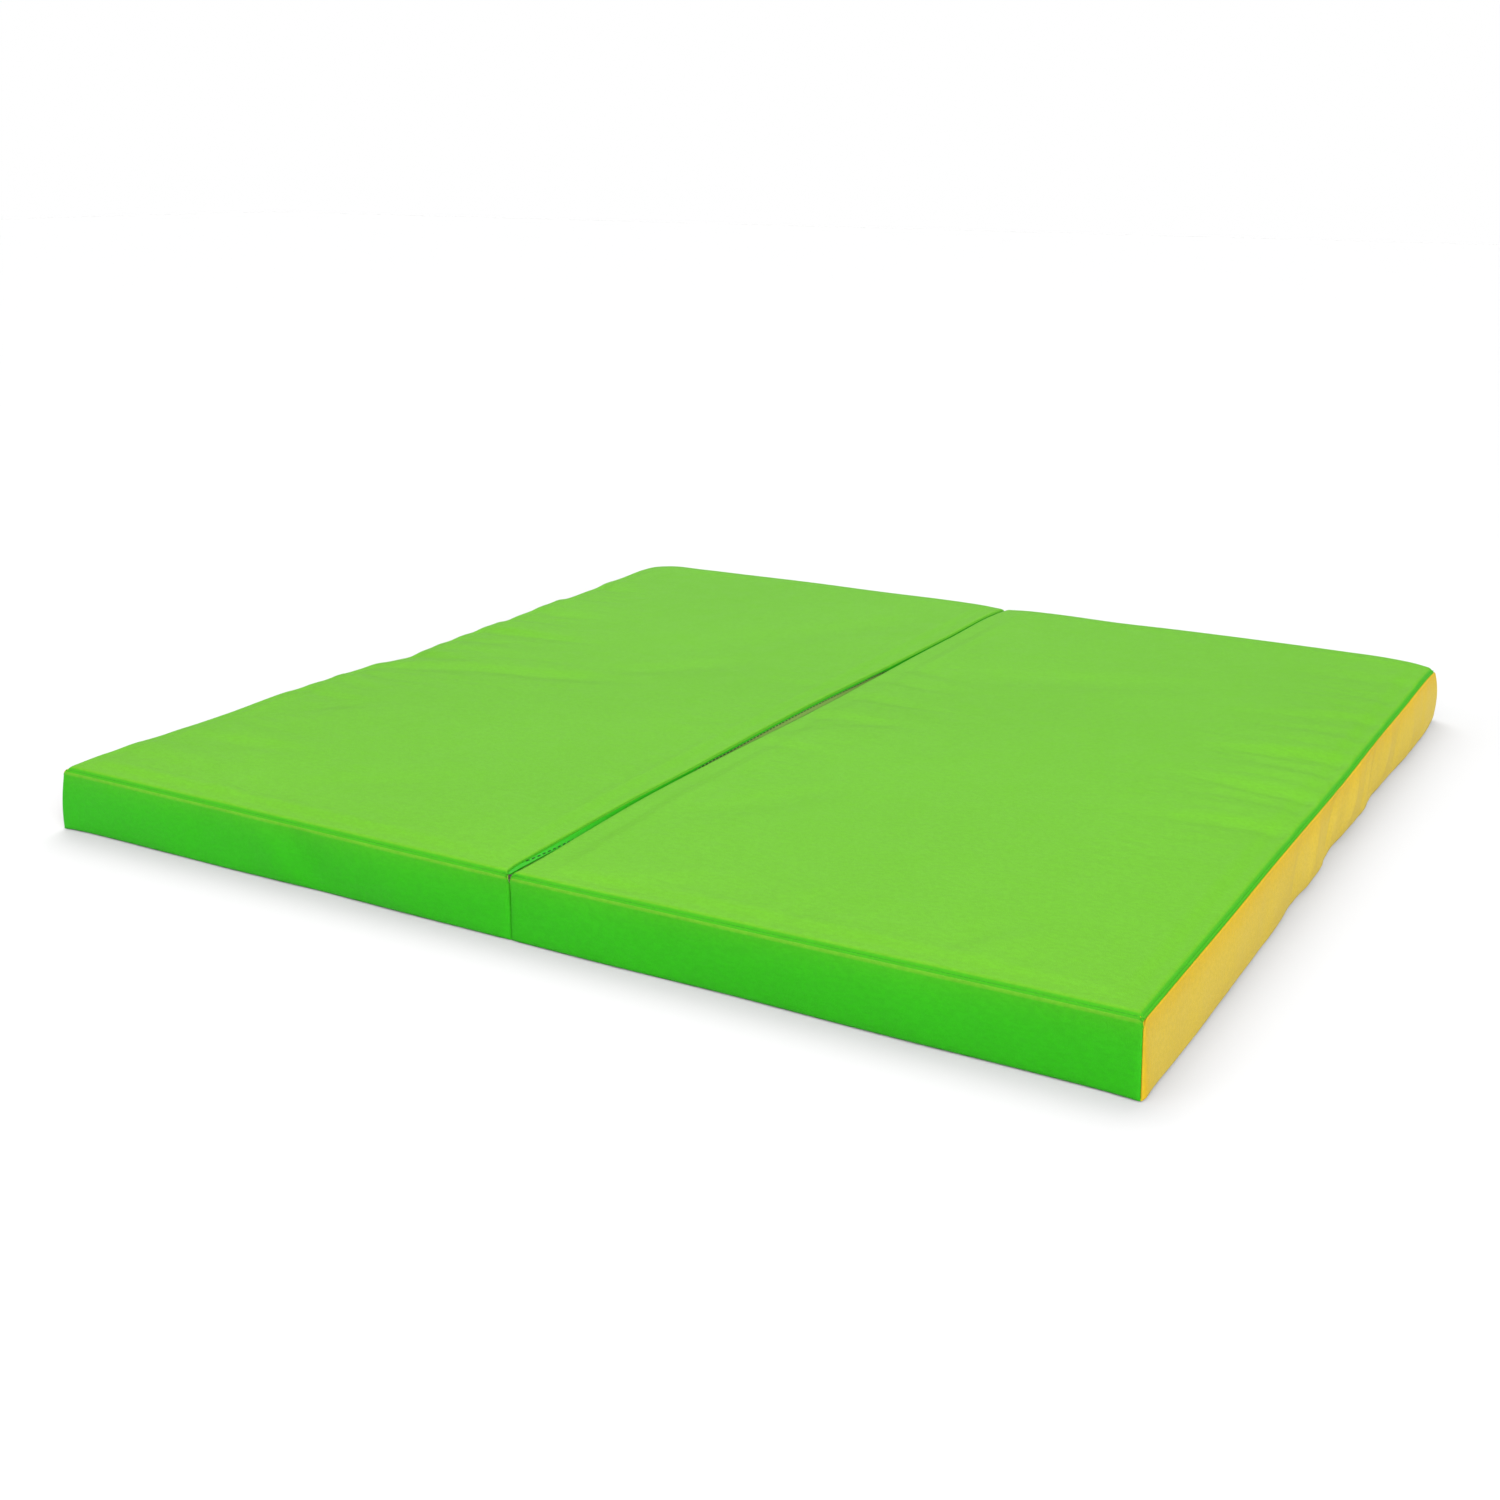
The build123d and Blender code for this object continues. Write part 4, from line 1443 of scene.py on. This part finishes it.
# %% The tooth tree
MATERIAL = "NodeSocketMaterial"
tooth_tree, given, grown_out = new_tree(
    "row_of_teeth",
    [
        ("First tooth", VECTOR),
        ("Pitch", FLOAT),
        ("Count", "NodeSocketInt"),
        ("Depth", FLOAT),
        ("Root height", FLOAT),
        ("Head height", FLOAT),
        ("Up or down", FLOAT),
        ("Material", MATERIAL),
    ],
)
pitch, depth, up_or_down = given["Pitch"], given["Depth"], given["Up or down"]
root_height, head_height = given["Root height"], given["Head height"]
tooth_places = wire(
    tooth_tree,
    "GeometryNodeMeshLine",
    {"mode": "OFFSET"},
    Count=given["Count"],
    Start_Location=given["First tooth"],
    Offset=vector(tooth_tree, y=pitch),
).outputs[0]
root_size = vector(tooth_tree, depth, product(tooth_tree, pitch, 0.62), root_height)
root = wire(tooth_tree, "GeometryNodeMeshCube", Size=root_size).outputs[0]
root_middle = product(tooth_tree, root_height, -0.5)
neck_size = vector(tooth_tree, product(tooth_tree, depth, 0.7), product(tooth_tree, pitch, 0.3), head_height)
neck = wire(tooth_tree, "GeometryNodeMeshCube", Size=neck_size).outputs[0]
neck_reach = math_node(tooth_tree, "ADD", root_height, product(tooth_tree, head_height, 0.35))
neck_middle = product(tooth_tree, neck_reach, -1.0)
head_radius, head_width = product(tooth_tree, pitch, 0.25), product(tooth_tree, depth, 0.82)
head = wire(
    tooth_tree, "GeometryNodeMeshCylinder", Vertices=10, Radius=head_radius, Depth=head_width
).outputs[0]
tooth_length = math_node(tooth_tree, "ADD", root_height, head_height)
head_middle = math_node(tooth_tree, "SUBTRACT", head_radius, tooth_length)
whole_tooth = wire(tooth_tree, "GeometryNodeJoinGeometry")
for part, middle, rotation in (
    (head, head_middle, (0.0, math.pi / 2, 0.0)),
    (neck, neck_middle, (0.0, 0.0, 0.0)),
    (root, root_middle, (0.0, 0.0, 0.0)),
):
    part = raised(tooth_tree, part, product(tooth_tree, up_or_down, middle), rotation)
    tooth_tree.links.new(part, whole_tooth.inputs[0])
placed_copies(tooth_tree, tooth_places, whole_tooth.outputs[0], given["Material"], grown_out[0])
print("tooth tree has", len(tooth_tree.nodes), "nodes")

# %% Rows of teeth
TOOTH_PITCH = 3.0
ROOT_SHARE = 0.42
for side in SIDES:
    for row, up in (("upper", 1), ("lower", -1)):
        low, high = planes(f"{side}_{row}_zip_teeth")
        half_step = 0.25 * TOOTH_PITCH * up
        count = int((high[1] - low[1]) / TOOTH_PITCH) - 1
        root_end = high[2] if up > 0 else low[2]
        first = ((low[0] + high[0]) / 2, -(count - 1) * TOOTH_PITCH / 2 + half_step, root_end)
        teeth = grow(
            tooth_tree,
            f"{side}_{row}_teeth",
            bpy.data.meshes.new("tooth_line"),
            {
                "First tooth": tuple(v * MM for v in first),
                "Pitch": TOOTH_PITCH * MM,
                "Count": count,
                "Depth": (high[0] - low[0]) * MM,
                "Root height": (high[2] - low[2]) * ROOT_SHARE * MM,
                "Head height": (high[2] - low[2]) * (1 - ROOT_SHARE) * MM,
                "Up or down": float(up),
                "Material": zip_teeth,
            },
        )
        fitted(teeth, side, f"{side}_{row}_zip_teeth")
        print(teeth.name, "has", count, "teeth")

# %% [markdown]
# A stitch is a short length of thick thread that comes up through the vinyl, lies on it and goes
# down again. The tree walks along a seam, and at every step lays one small bowed stitch that
# points the way the seam runs.

# %% The stitch tree
stitch_tree, given, grown_out = new_tree(
    "seam_stitches",
    [
        ("Stitch length", FLOAT),
        ("Share on top", FLOAT),
        ("Thread thickness", FLOAT),
        ("Bow", FLOAT),
        ("Material", MATERIAL),
    ],
)
seam = wire(stitch_tree, "GeometryNodeMeshToCurve", Mesh=given["Geometry"]).outputs[0]
by_length = {"mode": "LENGTH"}
stops = wire(stitch_tree, "GeometryNodeCurveToPoints", by_length, Curve=seam, Length=given["Stitch length"])
turn_level = {"axis": "X", "pivot_axis": "Z"}
seam_way = wire(
    stitch_tree, "FunctionNodeAlignRotationToVector", turn_level, Vector=stops.outputs["Tangent"]
).outputs[0]
shown_length = product(stitch_tree, given["Stitch length"], given["Share on top"])
half_stitch = product(stitch_tree, shown_length, 0.5)
sunk_end = product(stitch_tree, given["Bow"], -1.0)
stitch_line = wire(
    stitch_tree,
    "GeometryNodeCurveQuadraticBezier",
    Resolution=4,
    Start=vector(stitch_tree, x=product(stitch_tree, half_stitch, -1.0), z=sunk_end),
    Middle=vector(stitch_tree, z=product(stitch_tree, given["Bow"], 1.2)),
    End=vector(stitch_tree, x=half_stitch, z=sunk_end),
).outputs[0]
thread_radius = product(stitch_tree, given["Thread thickness"], 0.5)
thread_round = wire(
    stitch_tree, "GeometryNodeCurvePrimitiveCircle", Resolution=6, Radius=thread_radius
).outputs[0]
stitch_body = wire(
    stitch_tree, "GeometryNodeCurveToMesh", Curve=stitch_line, Profile_Curve=thread_round, Fill_Caps=True
).outputs[0]
stop_points = stops.outputs["Points"]
placed_copies(stitch_tree, stop_points, stitch_body, given["Material"], grown_out[0], Rotation=seam_way)
print("stitch tree has", len(stitch_tree.nodes), "nodes")

# %% [markdown]
# The seams are lines of points on the sheets: round the top of each panel in its groove, round
# three sides of each underside, and along each edge of the hinge strip. A longer, darker stitch
# runs along the foot of each facing, where the zipper is sewn in.

# %% Seams
SEAM_STITCH = {"Stitch length": 4.2 * MM, "Share on top": 0.86, "Thread thickness": 0.62 * MM}
ZIP_STITCH = {"Stitch length": 6.4 * MM, "Share on top": 0.5, "Thread thickness": 1.0 * MM}
UNDERSIDE_THREAD = 0.36
SEAM_FOLLOWS_FOOT = 0.66


def seam_mesh(side, lines):
    """Joined-up points for each line of a seam, in place on the panel's side."""
    points, edges = [], []
    for line in lines:
        start = len(points)
        placed = np.array(line) * (SIDES[side] * MM, MM, MM)
        points += placed.tolist()
        edges += [(start + k, start + k + 1) for k in range(len(line) - 1)]
    mesh = bpy.data.meshes.new("seam_line")
    mesh.from_pydata(points, edges, [])
    return mesh


def sew(name, side, node, lines, bow, stitch=SEAM_STITCH, thread=thread_material):
    """Stitches along some lines, in one piece."""
    values = {**stitch, "Bow": bow * MM, "Material": thread}
    seam_piece = grow(stitch_tree, name, seam_mesh(side, lines), values, smooth_under=60)
    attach(seam_piece, BODIES[side])
    if node:
        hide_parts(node)
    print(seam_piece.name, "has", len(seam_piece.data.polygons), "faces")


for side in SIDES:
    end_line, fold_line = HALF - OUTER_STITCH, WALL + FOLD_STITCH
    up_panel = steps(-end_line, end_line, 3)
    out_panel = steps(fold_line + 1, end_line, 3)
    round_panel = ((out_panel, -end_line), (end_line, up_panel), (out_panel, end_line), (fold_line, up_panel))
    top_lines = [sheet_point(side, across, y, -0.02) for across, y in round_panel]
    sew(f"{side}_top_stitches", side, f"{side}_top_seam_thread", top_lines, 0.16)
    along_tape = steps(-TAPE_END, TAPE_END, 3)
    lip, under_lip, foot_out, foot = facing_foot(side, along_tape)
    # Above the foot where the slider passes, below it where the tape shows.
    rise = np.interp(foot, (FACING_FOOT + 1.2, FACING_FOOT + 4), (0.75, -0.7))
    lean = (lip - foot_out) / (under_lip - foot)
    tape_line = stacked(foot_out + lean * np.maximum(rise, 0) - 0.15, along_tape, foot + rise)
    sew(f"{side}_tape_stitches", side, None, [tape_line], 0.1, ZIP_STITCH, zip_thread)
    edge = HALF - FOOT_STITCH
    out_panel = steps(STRIP_REACH + 2, edge, 3)
    up_panel = steps(-edge, edge, 3)
    front, outer, back = (
        edge + FOOT[side][band](places) * SEAM_FOLLOWS_FOOT
        for band, places in (("front", out_panel), ("outer", up_panel), ("back", out_panel))
    )
    foot_lines = [
        stacked(out_panel, -front, UNDERSIDE_THREAD),
        stacked(outer, up_panel, UNDERSIDE_THREAD),
        stacked(out_panel, back, UNDERSIDE_THREAD),
    ]
    sew(f"{side}_foot_stitches", side, f"{side}_bottom_seam_thread", foot_lines, -0.04)
    hinge_line = stacked(STRIP_REACH - HINGE_STITCH, steps(-HALF + 8, HALF - 8, 3), UNDERSIDE_THREAD)
    sew(f"{side}_hinge_stitches", side, f"{side}_hinge_thread", [hinge_line], -0.04)

# %% [markdown]
# ## Sliders, pulls and stops
# These small metal parts are rigid and their CAD shapes are right, so they stay as they are and
# only get the plated metal finish.

# %% Metal on the CAD parts
for side in SIDES:
    for part in ("zip_slider", "zip_pull", "zip_stops"):
        node = frame["nodes"][f"{side}_{part}"]
        node.data.materials.clear()
        node.data.materials.append(zip_metal)
        print(node.name, "is", zip_metal.name)

# %% [markdown]
# ## Floor
# The mat lies on a pale floor. When it is folded, the right panel swings right under the left
# one, so the floor has to be one mat's height lower. Two floors ride with the right panel: one
# under the open mat, and one above it that comes to lie underneath when the panel has turned
# over. Each is seen only while its own upper side faces up, which a Vector Transform tells it.
# The paint gives less light back than it shows, which keeps the shadow beside the mat deep.

# %% Floors
FLOOR_REACH = 14.0
FLOOR_GAP = 0.0003
SEEN_FLOOR = (0.88, 0.88, 0.88, 1.0)
BOUNCED_FLOOR = (0.50, 0.50, 0.50, 1.0)


def floor_sheet(name, height, shown_when):
    """A floor that rides with the right panel and shows only while it is the right way up."""
    mesh = bpy.data.meshes.new(name)
    corners = [(x * FLOOR_REACH, y * FLOOR_REACH, height) for x, y in ((-1, -1), (1, -1), (1, 1), (-1, 1))]
    mesh.from_pydata(corners, [], [(0, 1, 2, 3)])
    floor = bpy.data.objects.new(name, mesh)
    bpy.context.scene.collection.objects.link(floor)
    floor.parent = frame["bodies"]["right_panel"]
    material = bpy.data.materials.new(name)
    material.use_nodes = True
    tree = material.node_tree
    tree.nodes.clear()
    to_world = {"vector_type": "VECTOR", "convert_from": "OBJECT", "convert_to": "WORLD"}
    up = wire(tree, "ShaderNodeVectorTransform", to_world, Vector=(0.0, 0.0, 1.0))
    upwards = wire(tree, "ShaderNodeSeparateXYZ", Vector=up.outputs[0]).outputs["Z"]
    shown = math_node(tree, "GREATER_THAN", math_node(tree, "MULTIPLY", upwards, shown_when), 0.0)
    bounced = wire(tree, "ShaderNodeLightPath").outputs["Is Diffuse Ray"]
    pale = wire(tree, "ShaderNodeBsdfDiffuse", Color=mixed(tree, bounced, SEEN_FLOOR, BOUNCED_FLOOR))
    clear = wire(tree, "ShaderNodeBsdfTransparent")
    choice = wire(tree, "ShaderNodeMixShader", Fac=shown, i1=clear.outputs[0], i2=pale.outputs[0])
    output = tree.nodes.new("ShaderNodeOutputMaterial")
    tree.links.new(choice.outputs[0], output.inputs["Surface"])
    mesh.materials.append(material)
    return floor


crest = max(v.co.z for v in bpy.data.objects["right_top_cover"].data.vertices)
open_floor = floor_sheet("floor_under_open_mat", -FLOOR_GAP, 1.0)
folded_floor = floor_sheet("floor_under_folded_mat", crest + FLOOR_GAP, -1.0)
print("floors at", open_floor.data.vertices[0].co.z, "and", round(folded_floor.data.vertices[0].co.z, 4))
